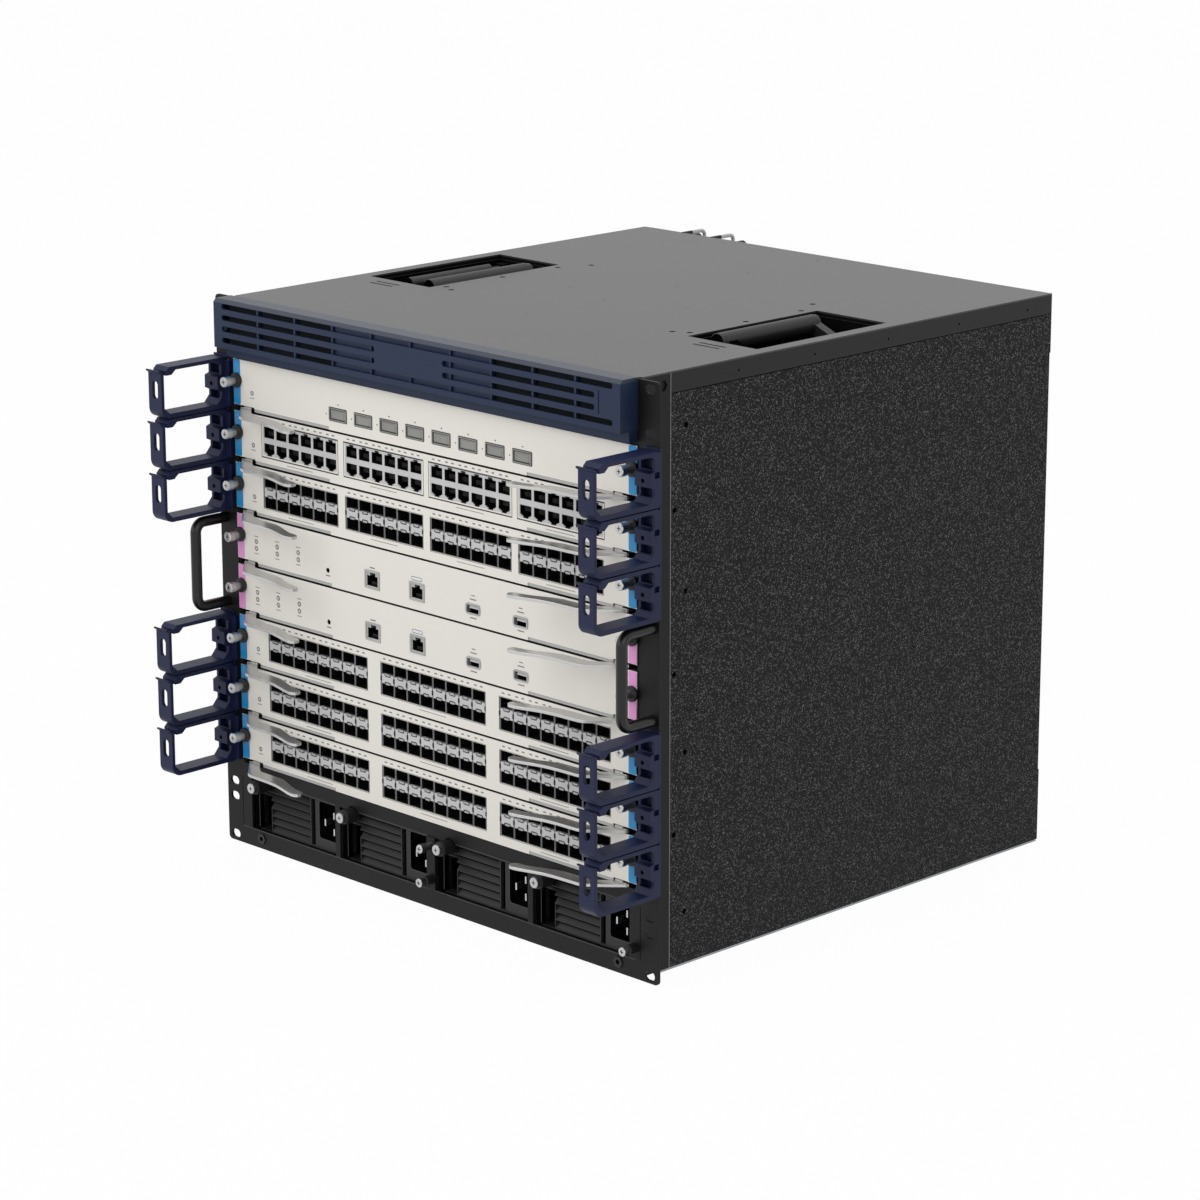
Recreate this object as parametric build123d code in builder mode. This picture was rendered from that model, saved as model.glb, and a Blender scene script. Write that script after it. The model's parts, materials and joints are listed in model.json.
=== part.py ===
"""Modular 10U chassis switch: eight horizontal card slots over a row of four power supplies.

X runs to the right seen from the front, Y to the back and Z up. The origin is the centre of the
bottom face. Depths (y) below are counted from the front face of the rack ears.
"""

import os

from build123d import *

# Overall size
UNIT = 44.45
HEIGHT = 10 * UNIT
DEPTH = 453.5
BODY_W = 442.0
EAR_W = 482.6
HOLE_PITCH = 465.1
SHEET = 1.5
GAP = 0.2
FRONT = -DEPTH / 2
SIDE = BODY_W / 2
EAR_X = EAR_W / 2
WRAP = 31.6          # depth of the plain front frame seen on the sides
FLANGE = 15.7        # height of the top cover's side flange

# Card slots
SLOTS = 8
PITCH = 41.0
SLOT_Z = 69.6        # bottom of the lowest faceplate
PLATE_H = 39.4
PLATE_X = 220.0
PLATE_Y = -1.0
PLATE_T = 1.6
NOTCH_X, NOTCH_H = 196.25, 3.5
TRAY_X = 208.0
TRAY_END = 352.0
BAY_LOW = SLOT_Z - 0.8
BAY_TOP = SLOT_Z + PITCH * (SLOTS - 1) + PLATE_H + 1.4
KNOB_X, KNOB_Z = 216.0, 22.8
PIVOT_X, PIVOT_Y = 205.0, 7.0
LEVER_T = 2.2
LEVER_Z = -0.4       # bottom of the lever over the bottom of its slot

# Power supplies
PSU_W, PSU_GAP, PILLAR = 101.0, 5.3, 4.6
PSU_LOW, PSU_TOP = 15.6, 57.4
PSU_Y = 3.0
PSU_END = 300.0

# Bezel
BEZEL_X0, BEZEL_X1, BEZEL_Y = -222.5, 219.8, -17.3
BEZEL_LOW, BEZEL_TOP = 406.9, 444.9
LIP_X, LIP_Y, LIP_LOW = 219.2, -8.0, 398.7
RIB_PITCH = 43.2

# Cable brackets, in the slots' own heights
RING_IN, RING_OUT = 227.7, 243.3
BRACKET_SLOTS = (1, 2, 3, 6, 7, 8)

# Top handles
WELL_IN, WELL_OUT = 140.0, 209.5
WELL_Y0, WELL_Y1 = 132.2, 273.0
WELL_FLOOR = 413.0
GRIP_X, GRIP_Z, GRIP_R = 155.5, 440.2, 6.0
HINGE_X, HINGE_Z, HINGE_R = 200.6, 435.2, 5.0


def slot_z(slot):
    """Height of the bottom of a slot, slot 1 being the top one."""
    return SLOT_Z + PITCH * (SLOTS - slot)


def slab(x0, x1, y0, y1, z0, z1, mode=Mode.ADD):
    """A block between two corners, y counted from the front of the ears."""
    with Locations(((x0 + x1) / 2, FRONT + (y0 + y1) / 2, (z0 + z1) / 2)):
        Box(abs(x1 - x0), abs(y1 - y0), abs(z1 - z0), mode=mode)


def pair(x0, x1, y0, y1, z0, z1, mode=Mode.ADD):
    """The same block on the right and mirrored on the left."""
    slab(x0, x1, y0, y1, z0, z1, mode)
    slab(-x1, -x0, y0, y1, z0, z1, mode)


def rod_y(x, y0, y1, z, r, mode=Mode.ADD):
    """A round bar along Y."""
    with Locations(Location((x, FRONT + (y0 + y1) / 2, z), (90, 0, 0))):
        Cylinder(r, abs(y1 - y0), mode=mode)


def rod_x(x0, x1, y, z, r, mode=Mode.ADD):
    """A round bar along X."""
    with Locations(Location(((x0 + x1) / 2, FRONT + y, z), (0, 90, 0))):
        Cylinder(r, abs(x1 - x0), mode=mode)


def rod_z(x, y, z0, z1, r, mode=Mode.ADD):
    """An upright round bar."""
    with Locations((x, FRONT + y, (z0 + z1) / 2)):
        Cylinder(r, abs(z1 - z0), mode=mode)


def save(build, name):
    """Label a finished piece and write its STEP file."""
    build.part.label = name
    export_step(build.part, f"parts/{name}.step")


os.makedirs("parts", exist_ok=True)

# Front frame with the rack ears and the rails round the bays
EAR_HOLES = [6.35, 38.1, 50.8, HEIGHT - 50.8, HEIGHT - 38.1, HEIGHT - 6.35]
EAR_IN = 220.6
LAND = 213.2
INTAKE = (407.0, 437.0)
PSU_X = [-PILLAR - 2 * PSU_W - PSU_GAP, -PILLAR - PSU_W, PILLAR, PILLAR + PSU_W + PSU_GAP]
PEG_X, PEG_Z, PEG_R = 214.0, 425.0, 2.5

with BuildPart() as frame:
    with BuildSketch(Plane.XZ.offset(-FRONT)) as sk:
        with Locations((0, HEIGHT / 2)):
            RectangleRounded(EAR_W, HEIGHT - 1.2, 3.5)
        with Locations((0, (BAY_LOW + INTAKE[1]) / 2)):
            Rectangle(2 * LAND, INTAKE[1] - BAY_LOW, mode=Mode.SUBTRACT)
        with Locations([(x + PSU_W / 2, (PSU_LOW + PSU_TOP) / 2) for x in PSU_X]):
            Rectangle(PSU_W, PSU_TOP - PSU_LOW, mode=Mode.SUBTRACT)
        with Locations([(s * HOLE_PITCH / 2, z) for s in (-1, 1) for z in EAR_HOLES]):
            SlotOverall(10.0, 7.0, mode=Mode.SUBTRACT)
    extrude(amount=-2.0)
    # the card landing sits back from the ears, so the faceplates lie nearly flush
    pair(LAND - 0.01, EAR_IN, -0.01, PLATE_Y + PLATE_T + GAP, SLOT_Z - 0.6, BAY_TOP + 2, Mode.SUBTRACT)
    # the levers turn in these cuts and bear on their edges
    for slot in range(1, SLOTS + 1):
        z = slot_z(slot) + LEVER_Z
        pair(LAND - 0.1, 219.0, -1, 3, z - 0.5, z + LEVER_T + 0.5, Mode.SUBTRACT)
    # beam between the cards and the intake, and the window's lower edge
    slab(-LAND, LAND, 0.8, 2.0, BAY_TOP, INTAKE[0])
    slab(-PILLAR, PILLAR, -1.0, 0.0, PSU_LOW, PSU_TOP)
    for s in (-1, 1):
        rod_y(s * PEG_X, -1, 5, PEG_Z, PEG_R + 0.1, Mode.SUBTRACT)
        rod_y(s * 200.5, -1, 3, 9.0, 2.6, Mode.SUBTRACT)
    for x in PSU_X:
        rod_y(x + 15.5, -1, 3, 54.8, 6.4, Mode.SUBTRACT)
        slab(x + 9.1, x + 21.9, -1, 3, 52.5, PSU_TOP, Mode.SUBTRACT)
save(frame, "front_frame")

# Returns behind the frame, the outer skin plain and the inner flange behind the side panels
with BuildPart() as returns:
    pair(SIDE - SHEET, SIDE, 2.0, WRAP - 0.1, SHEET, HEIGHT - SHEET)
    pair(SIDE - 2 * SHEET, SIDE - SHEET, 2.0, 55.0, SHEET, HEIGHT - SHEET)
    slab(-SIDE + 0.5, SIDE - 0.5, 2.0, 3.0, HEIGHT - 2 * SHEET, HEIGHT - 0.6)
    slab(-SIDE + 2, SIDE - 2, 2.0, 20.0, 0.6 + GAP, 2.0)
    for s in (-1, 1):
        a, b = sorted((s * (SIDE - SHEET), s * (SIDE + 1)))
        rod_x(a, b, 23.8, 435.2, 4.0, Mode.SUBTRACT)
save(returns, "frame_returns")

# Bottom pan and side panels
with BuildPart() as pan:
    slab(-SIDE, SIDE, 20.2, DEPTH - SHEET, 0, SHEET)
    pair(SIDE - 2 * SHEET, SIDE - SHEET, 56.0, DEPTH - 2.0, SHEET, 22.0)
save(pan, "bottom_pan")

PANEL_SCREWS = [(47.3, 403.8), (36.0, 343.6), (47.3, 282.7), (36.0, 222.6),
                (47.3, 162.5), (36.0, 102.2), (47.3, 41.1)]
for side, name in ((-1, "side_panel_left"), (1, "side_panel_right")):
    with BuildPart() as panel:
        x0, x1 = sorted((side * (SIDE - SHEET), side * SIDE))
        slab(x0, x1, WRAP, DEPTH - 1.0, SHEET, HEIGHT - FLANGE - 0.2)
        slab(x0, x1, DEPTH - 1.5, DEPTH, SHEET, 60.0)
        slab(x0, x1, DEPTH - 1.5, DEPTH, 398.0, HEIGHT - FLANGE - 0.2)
        for y, z in PANEL_SCREWS:
            rod_x(x0 - 1, x1 + 1, y, z, 2.05, Mode.SUBTRACT)
    save(panel, name)

with BuildPart() as screws:
    for side in (-1, 1):
        for y, z in PANEL_SCREWS:
            a, b = side * (SIDE - SHEET), side * (SIDE - 0.5)
            rod_x(min(a, b), max(a, b), y, z, 1.9)
save(screws, "panel_screws")

# Top cover with its two handle wells
with BuildPart() as cover:
    slab(-SIDE, SIDE, 3.2, DEPTH, HEIGHT - SHEET, HEIGHT)
    pair(SIDE - SHEET, SIDE, WRAP, DEPTH, HEIGHT - FLANGE, HEIGHT - SHEET)
    pair(WELL_IN, WELL_OUT, WELL_Y0, WELL_Y1, HEIGHT - 3, HEIGHT + 1, Mode.SUBTRACT)
    for s in (-1, 1):
        for y in (113.0, 120.0):
            slab(s * 176 - 13, s * 176 + 13, y, y + 2.2, HEIGHT - 3, HEIGHT + 1, Mode.SUBTRACT)
        for x, y in ((WELL_IN - 8, 143), (WELL_IN - 8, 203), (WELL_IN - 8, 264),
                     (WELL_IN - 20, 137), (WELL_IN - 20, 290)):
            rod_z(s * x, y, HEIGHT - 0.6, HEIGHT + 1, 2.4, Mode.SUBTRACT)
save(cover, "top_cover")

with BuildPart() as wells:
    pair(WELL_IN - 9, WELL_OUT + 6, WELL_Y0 - 6, WELL_Y1 + 6, HEIGHT - 2 * SHEET, HEIGHT - SHEET)
    pair(WELL_IN - 1.2, WELL_OUT + 1.2, WELL_Y0 - 1.2, WELL_Y1 + 1.2, WELL_FLOOR, HEIGHT - SHEET)
    pair(WELL_IN, WELL_OUT, WELL_Y0, WELL_Y1, WELL_FLOOR + 1.2, HEIGHT, Mode.SUBTRACT)
    for s in (-1, 1):
        for y0, y1 in ((WELL_Y0 - 0.2, WELL_Y0 + 9.0), (WELL_Y1 - 9.0, WELL_Y1 + 0.2)):
            slab(s * HINGE_X - 4, s * HINGE_X + 4, y0, y1, WELL_FLOOR + 0.5, HINGE_Z + 3.4)
            rod_y(s * HINGE_X, y0 - 1, y1 + 1, HINGE_Z, 2.06, Mode.SUBTRACT)
save(wells, "handle_wells")

# Fold-down carrying handles: a fat grip, two arms and the hinge tube
ARM_Y, ARM_W = (156.5, 248.5), 8.0
for side, name in ((-1, "top_handle_left"), (1, "top_handle_right")):
    with BuildPart() as handle:
        rod_y(side * GRIP_X, 151.5, 254.0, GRIP_Z, GRIP_R)
        rod_y(side * HINGE_X, ARM_Y[0] - ARM_W / 2, ARM_Y[1] + ARM_W / 2, HINGE_Z, HINGE_R)
        rod_y(side * HINGE_X, WELL_Y0 + 2.0, WELL_Y1 - 2.0, HINGE_Z, 2.0)
        for y in ARM_Y:
            with BuildSketch(Plane.XZ.offset(-(FRONT + y - ARM_W / 2))):
                with BuildLine():
                    Polyline((side * (GRIP_X - 2), GRIP_Z + 3.0), (side * (GRIP_X - 2), GRIP_Z - 5.0),
                             (side * 178, HINGE_Z - 8.0), (side * HINGE_X, HINGE_Z - 4.2),
                             (side * HINGE_X, HINGE_Z + 2.8), (side * 180, HINGE_Z - 1.0),
                             (side * GRIP_X, GRIP_Z + 4.0), close=True)
                make_face()
            extrude(amount=-ARM_W)
    save(handle, name)

# Rear panel with the openings for the two narrow fan trays
TRAYS = ((-215.0, -160.6), (-159.4, -105.0))
TRAY_Z = (30.0, 444.3)
with BuildPart() as rear:
    slab(-SIDE + SHEET + 0.05, SIDE - SHEET - 0.05, DEPTH - SHEET, DEPTH, 0, HEIGHT - SHEET - 0.05)
    for x0, x1 in TRAYS:
        slab(x0 + 2, x1 - 2, DEPTH - 3, DEPTH + 1, TRAY_Z[0] + 4, TRAY_Z[1] - 7.7, Mode.SUBTRACT)
save(rear, "rear_panel")

for (x0, x1), handle_x, knob_x, name in ((TRAYS[0], -177.0, -168.1, "fan_tray_1"),
                                         (TRAYS[1], -143.7, -117.0, "fan_tray_2")):
    mid = (x0 + x1) / 2
    with BuildPart() as tray:
        slab(x0, x1, DEPTH, DEPTH + SHEET, *TRAY_Z)
        slab(x0 + 3, x1 - 3, 393.0, DEPTH, TRAY_Z[0] + 5, TRAY_Z[1] - 8.7)
        slab(x0 + 4.2, x1 - 4.2, 392.0, DEPTH - 2, TRAY_Z[0] + 6.2, TRAY_Z[1] - 9.9, Mode.SUBTRACT)
        for k in range(7):
            z = 62.0 + 54.0 * k
            slab(mid - 20, mid + 20, DEPTH - 3, DEPTH + 2, z - 20, z + 20, Mode.SUBTRACT)
            slab(mid - 20, mid + 20, DEPTH, DEPTH + 1, z - 1, z + 1)
            slab(mid - 1, mid + 1, DEPTH, DEPTH + 1, z - 20, z + 20)
        with BuildLine() as wire:
            FilletPolyline((handle_x, FRONT + DEPTH, 360.5), (handle_x, FRONT + DEPTH + 27.0, 360.5),
                           (handle_x, FRONT + DEPTH + 27.0, 443.4), (handle_x, FRONT + DEPTH, 443.4),
                           radius=4.0)
        with BuildSketch(Plane(origin=wire.line @ 0, z_dir=wire.line % 0)):
            Circle(1.6)
        sweep(path=wire.line)
        for z in (36.5, TRAY_Z[1] - 4.4):
            rod_y(knob_x, DEPTH, DEPTH + 11.0, z, 4.0)
    save(tray, name)

# Deck over the power bay, its dividers, the card guides and the backplane
with BuildPart() as deck:
    slab(-SIDE + 2 * SHEET + 0.05, SIDE - 2 * SHEET - 0.05, 2.2, 390.0, 60.6, 61.8)
save(deck, "power_deck")

with BuildPart() as cage:
    for x in (-PILLAR - PSU_W - PSU_GAP / 2, 0, PILLAR + PSU_W + PSU_GAP / 2):
        slab(x - 1.0, x + 1.0, 3.0, 330.0, 2.1, 60.6)
    pair(SIDE - 2 * SHEET - 1.2, SIDE - 2 * SHEET - 0.05, 2.2, 330.0, 2.1, 60.6)
    pair(LAND - 1.0, SIDE - 4, 20.0, 330.0, 13.9, 15.1)
    slab(-LAND, LAND, 20.0, 330.0, 13.9, 15.1)
save(cage, "power_cage")

for side, name in ((-1, "card_guide_left"), (1, "card_guide_right")):
    with BuildPart() as guide:
        x0, x1 = sorted((side * (SIDE - 2 * SHEET - 0.05), side * (SIDE - 2 * SHEET - 1.25)))
        slab(x0, x1, 20.0, 378.0, 61.8, 400.0)
        for slot in range(1, SLOTS + 1):
            z = slot_z(slot)
            a, b = sorted((side * (TRAY_X - 6.0), side * (SIDE - 4.0)))
            slab(a, b, 20.0, 378.0, z + 0.7, z + 2.0)
    save(guide, name)

with BuildPart() as backplane:
    slab(-217.9, 217.9, 380.0, 384.0, 61.8, 442.9)
    for slot in range(1, SLOTS + 1):
        z = slot_z(slot)
        for x in (-140, 0, 140):
            slab(x - 40, x + 40, 366.0, 380.0, z + 4.0, z + 16.0)
save(backplane, "backplane")

# Cards: faceplate, tray and the port blocks standing on it
SFP = dict(w=13.2, h=9.1, rows=(7.9, 24.0), top=33.1, depth=11.0)
JACK = dict(w=11.9, h=9.2, rows=(9.2, 23.0), top=34.2, depth=11.0)
BLOCKS4 = (-143.3, -47.3, 47.9, 142.9)
BLOCKS3 = (-127.05, 4.4, 135.5)
COLUMN = 14.45


def port_blocks(centres, z, columns, kind):
    """Blocks of cages behind openings of the faceplate, with a pocket for every port."""
    width = columns * COLUMN
    low, high = kind["rows"][0] - 0.3, kind["top"]
    with Locations([(x, FRONT + PLATE_Y + PLATE_T / 2, z + (low + high) / 2) for x in centres]):
        Box(width, PLATE_T + 2, high - low, mode=Mode.SUBTRACT)
    with Locations([(x, FRONT + (PLATE_Y + 0.4 + 16) / 2, z + (low + high) / 2) for x in centres]):
        Box(width, 16 - PLATE_Y - 0.4, high - low)
    with Locations([(x, FRONT + PLATE_Y + kind["depth"] / 2, z + row + kind["h"] / 2)
                    for x in centres for row in kind["rows"]]):
        with GridLocations(COLUMN, 1, columns, 1):
            Box(kind["w"], kind["depth"], kind["h"], mode=Mode.SUBTRACT)


for slot in range(1, SLOTS + 1):
    z = slot_z(slot)
    with BuildPart() as card:
        slab(-PLATE_X, PLATE_X, PLATE_Y, PLATE_Y + PLATE_T, z, z + PLATE_H)
        slab(-TRAY_X, TRAY_X, PLATE_Y + PLATE_T, TRAY_END, z + 2.2, z + 4.0)
        slab(-TRAY_X + 4, TRAY_X - 4, PLATE_Y + PLATE_T, 9.0, z + 4.0, z + 5.6)
        for x in (-140, 0, 140):
            slab(x - 38, x + 38, TRAY_END - 20, TRAY_END + 13.7, z + 4.0, z + 15.0)
        pair(NOTCH_X, PLATE_X + 1, PLATE_Y - 1, PLATE_Y + PLATE_T, z - 1, z + NOTCH_H, Mode.SUBTRACT)
        # shallow relief along the lower edge, where the levers fold against the faceplate
        pair(108.5, NOTCH_X, PLATE_Y - 1, PLATE_Y + 0.5, z - 1, z + 2.6, Mode.SUBTRACT)
        if slot == 1:
            windows = [-97.8 + 28.8 * k for k in range(8)]
            with Locations([(x, FRONT + (PLATE_Y + PLATE_T + 18) / 2, z + 11.15) for x in windows]):
                Box(21.2, 18 - PLATE_Y - PLATE_T, 14.3)
            with Locations([(x, FRONT + (PLATE_Y + 11) / 2, z + 12.75) for x in windows]):
                Box(19.8, 13 - PLATE_Y, 9.7, mode=Mode.SUBTRACT)
        elif slot == 2:
            port_blocks(BLOCKS4, z, 6, JACK)
        elif slot == 3:
            port_blocks(BLOCKS4, z, 6, SFP)
        elif slot in (4, 5):
            for x, w, h, low in ((-61.5, 12.6, 10.6, 8.9), (-11.2, 12.6, 10.6, 8.9),
                                 (50.2, 13.2, 5.8, 9.4), (101.0, 13.2, 5.8, 9.4)):
                slab(x - w / 2 - 1.5, x + w / 2 + 1.5, PLATE_Y + PLATE_T, 16.0, z + 4.0, z + low + h + 1.5)
                slab(x - w / 2, x + w / 2, PLATE_Y - 1, 12.0, z + low, z + low + h, Mode.SUBTRACT)
            rod_y(-112.8, PLATE_Y - 1, PLATE_Y + PLATE_T + 1, z + 12.2, 2.0, Mode.SUBTRACT)
        else:
            port_blocks(BLOCKS3, z, 8, SFP)
        for s in (-1, 1):
            # pivot pin of the lever with its head, and the knob's hole
            rod_z(s * PIVOT_X, PIVOT_Y, z + LEVER_Z - 0.7, z + 2.2, 2.0)
            rod_z(s * PIVOT_X, PIVOT_Y, z + LEVER_Z - 0.7, z + LEVER_Z - 0.1, 3.2)
            rod_y(s * KNOB_X, PLATE_Y - 1, PLATE_Y + PLATE_T + 1, z + KNOB_Z, 2.0, Mode.SUBTRACT)
    save(card, f"card_{slot}")

    with BuildPart() as knobs:
        for s in (-1, 1):
            rod_y(s * KNOB_X, PLATE_Y - 3.0, PLATE_Y, z + KNOB_Z, 5.8)
            rod_y(s * KNOB_X, PLATE_Y - 14.0, PLATE_Y - 3.0, z + KNOB_Z, 4.1)
            rod_y(s * KNOB_X, PLATE_Y, PLATE_Y + PLATE_T, z + KNOB_Z, 1.9)
    save(knobs, f"card_screws_{slot}")

    # Ejector levers: a flat plate through the notch, along the faceplate and out to the finger tip
    for side, name in ((-1, "left"), (1, "right")):
        with BuildPart() as lever:
            with BuildSketch(Plane.XY.offset(z + LEVER_Z)):
                with BuildLine():
                    def at(x, y):
                        return (side * x, FRONT + y)
                    Polyline(at(198.5, 7), at(198.5, 0), at(197.5, -2.5), at(195.5, -4.8),
                             at(186, -12.0), at(183.5, -12.9), at(159, -13.8), at(154, -14.8),
                             at(148, -16.9), at(136, -21.9), at(130, -23.7), at(121, -25.0),
                             at(118.8, -26.2), at(117.9, -28.6), at(118.6, -31.4), at(120.6, -33.0),
                             at(124, -33.4), at(130, -32.2), at(141, -28.9), at(150, -26.6),
                             at(162, -25.2), at(183, -24.5), at(186, -23.9), at(189, -22.4),
                             at(204, -9), at(210, -3), at(211.5, -0.5), at(211.5, 7))
                    ThreePointArc(at(211.5, 7), at(205, 13.5), at(198.5, 7))
                make_face()
            extrude(amount=LEVER_T)
            rod_z(side * PIVOT_X, PIVOT_Y, z - 1, z + 3, 2.06, Mode.SUBTRACT)
        save(lever, f"lever_{slot}_{name}")

# Power supplies
for k, x in enumerate(PSU_X, start=1):
    with BuildPart() as psu:
        slab(x + 0.4, x + PSU_W - 0.4, PSU_Y, PSU_END, PSU_LOW + 0.2, PSU_TOP - 0.4)
        # finger recess, slanted louvres, dark upright groove and the inlet
        slab(x, x + 20.5, PSU_Y - 1, PSU_Y + 14, PSU_LOW, 45.0, Mode.SUBTRACT)
        for j in range(6):
            left = x + (8.2 if j > 2 else 21.2)
            y, z = FRONT + PSU_Y, 17.4 + 6.4 * j
            with BuildSketch(Plane.YZ.offset(left)):
                with BuildLine():
                    Polyline((y - 1, z), (y, z), (y + 3.0, z + 3.5), (y + 8.0, z + 3.5),
                             (y + 8.0, z + 5.8), (y - 1, z + 5.8), close=True)
                make_face()
            extrude(amount=x + 67.7 - left, mode=Mode.SUBTRACT)
        slab(x + 68.7, x + 73.6, PSU_Y - 1, PSU_Y + 8, 17.4, 55.2, Mode.SUBTRACT)
        slab(x + 78.4, x + 99.4, PSU_Y - 1, PSU_Y + 18, 25.0, 55.2, Mode.SUBTRACT)
        slab(x + 80.6, x + 97.2, PSU_Y + 2, PSU_Y + 19, 28.2, 52.0)
        slab(x + 82.4, x + 95.4, PSU_Y + 1, PSU_Y + 17, 30.0, 50.2, Mode.SUBTRACT)
        for dx, dz in ((83.6, 37.0), (94.2, 43.0), (94.2, 31.0)):
            slab(x + dx - 0.6, x + dx + 0.6, PSU_Y + 6, PSU_Y + 17, dz - 0.8, dz + 5.2)
        # spring latch and its finger tab
        slab(x + 5.2, x + 6.4, PSU_Y + 1, PSU_Y + 4, PSU_LOW + 1.0, 44.0)
        slab(x + 0.9, x + 6.4, PSU_Y - 0.2, PSU_Y + 1, PSU_LOW + 1.0, 46.0)
        rod_y(x + 15.5, PSU_Y - 14.0, PSU_Y, 54.8, 5.4)
        rod_y(x + 15.5, PSU_Y - 17.0, PSU_Y - 14.0, 54.8, 4.1)
    save(psu, f"psu_{k}")

# Bezel with its slots, the air filter behind it
with BuildPart() as bezel:
    with BuildSketch(Plane.YZ.offset(BEZEL_X0)):
        with BuildLine():
            y0 = FRONT + BEZEL_Y
            Polyline((FRONT, BEZEL_LOW), (y0, BEZEL_LOW), (y0, BEZEL_TOP - 2.7), (y0 + 2.7, BEZEL_TOP),
                     (FRONT, BEZEL_TOP), close=True)
        make_face()
    extrude(amount=BEZEL_X1 - BEZEL_X0)
    slab(-LIP_X, LIP_X, LIP_Y, 0, LIP_LOW, BEZEL_LOW)
    slab(BEZEL_X0 + 2.2, BEZEL_X1 - 2.2, BEZEL_Y + 2.3, 1, BEZEL_LOW + 2, BEZEL_TOP - 2, Mode.SUBTRACT)
    ROWS = [BEZEL_LOW + 6.6 + 8.75 * k for k in range(4)]
    for k, z in enumerate(ROWS):
        # the two middle rows stop short of the plaque
        for x0, x1 in (((-213.0, -36.6), (37.0, 194.2)) if k in (1, 2) else ((-213.0, 212.2),)):
            with BuildSketch(Plane.XZ.offset(-FRONT - BEZEL_Y - 4)):
                with Locations(((x0 + x1) / 2, z)):
                    SlotOverall(x1 - x0, 4.3)
            extrude(amount=8.0, mode=Mode.SUBTRACT)
    slab(198.0, 198.9, BEZEL_Y - 1, BEZEL_Y + 0.6, 418.0, 435.0, Mode.SUBTRACT)
    # closed back of the middle, and the ribs that cross all the rows
    slab(-85.4, 87.4, BEZEL_Y + 3.0, BEZEL_Y + 4.4, BEZEL_LOW + 1, BEZEL_TOP - 1)
    for k in range(-4, 5):
        slab(RIB_PITCH * k, RIB_PITCH * k + 2, BEZEL_Y + 1.2, BEZEL_Y + 4, BEZEL_LOW + 3, BEZEL_TOP - 3)
    for s in (-1, 1):
        slab(s * PEG_X - 4, s * PEG_X + 4, BEZEL_Y + 2, 0, PEG_Z - 4, PEG_Z + 4)
        rod_y(s * PEG_X, -1, 4, PEG_Z, PEG_R)
save(bezel, "intake_bezel")

with BuildPart() as foam:
    slab(-209.6, 209.6, -12.5, -4.5, BEZEL_LOW + 2.2, BEZEL_TOP - 2.2)
save(foam, "air_filter")

# Cable brackets, one moulded ring on each side of every line card
RING_MID = (RING_IN + RING_OUT) / 2
with BuildPart() as ring:
    with BuildSketch(Plane.YZ.offset(RING_IN)):
        with BuildLine():
            def rim(y, dz):
                return (FRONT + y, dz)
            Polyline(rim(-61.3, 36.5), rim(-58.3, 39.4), rim(-3, 39.4), rim(0, 36.5), rim(0, 1),
                     rim(-3, -0.7), rim(-58.3, -0.7))
            ThreePointArc(rim(-58.3, -0.7), rim(-63.96, 1.64), rim(-66.3, 7.3))
            Polyline(rim(-66.3, 7.3), rim(-66.3, 34.6), rim(-68.6, 36.4), rim(-68.6, 37.4),
                     rim(-67.4, 37.4), rim(-63.6, 35.4), rim(-63.6, 7.5), rim(-58.6, 2.8),
                     rim(-12, 2.8), rim(-7, 8.5), rim(-7, 12.5), rim(-11, 14.5), rim(-11, 24.5),
                     rim(-7, 26.0), rim(-7, 33.5), rim(-10, 36.5), rim(-52, 36.5),
                     rim(-56, 33.0), rim(-61.3, 33.0), rim(-61.3, 36.5))
        make_face()
    extrude(amount=RING_OUT - RING_IN)
    with BuildSketch(Plane.XZ.offset(-FRONT + 62.0)):
        with Locations((RING_MID, 21.5)):
            SlotOverall(14.5, 6.6, rotation=90)
    extrude(amount=6.0, mode=Mode.SUBTRACT)
    slab(223.6, RING_IN, -3.0, 0, 1.0, 37.0)
    slab(RING_IN, RING_OUT, -1.5, 0, 36.0, 40.8)
    slab(RING_MID - 5.5, RING_MID + 5.5, -8, -1.6, 26.5, 34.0, Mode.SUBTRACT)
    slab(RING_MID - 5.5, RING_MID + 5.5, -8, -1.6, 4.4, 12.5, Mode.SUBTRACT)
    slab(RING_OUT - 3.0, RING_OUT + 1, -7.0, -2.0, 20.5, 25.0, Mode.SUBTRACT)
    rod_y(RING_MID, -12, 1, 18.7, 1.7, Mode.SUBTRACT)

with BuildPart() as brackets:
    left = mirror(ring.part, about=Plane.YZ, mode=Mode.PRIVATE)
    add([shape.moved(Location((0, 0, slot_z(slot)))) for slot in BRACKET_SLOTS for shape in (ring.part, left)])
save(brackets, "cable_brackets")

# Carry handles on the ears, bent from round rod
BAR_X, BAR_Y, BAR_R, BAR_Z, BAR_HALF = 235.0, -31.0, 4.25, SLOT_Z + PITCH * 4 - 0.7, 34.0
with BuildPart() as bars:
    for side in (-1, 1):
        with BuildLine() as path:
            FilletPolyline((side * BAR_X, FRONT, BAR_Z - BAR_HALF),
                           (side * BAR_X, FRONT + BAR_Y, BAR_Z - BAR_HALF),
                           (side * BAR_X, FRONT + BAR_Y, BAR_Z + BAR_HALF),
                           (side * BAR_X, FRONT, BAR_Z + BAR_HALF), radius=8.0)
        with BuildSketch(Plane(origin=path.line @ 0, z_dir=path.line % 0)):
            Circle(BAR_R)
        sweep(path=path.line)
save(bars, "carry_handles")

# Thumbscrews of the frame and the hexagonal ground inserts
with BuildPart() as studs:
    for x, z in ((1.2, 51.2), (1.2, 24.4), (217.6, 24.4)):
        y = -1.0 if x < 100 else 0.0
        rod_y(x, -14.0, y, z, 3.4)
save(studs, "frame_thumbscrews")

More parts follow.
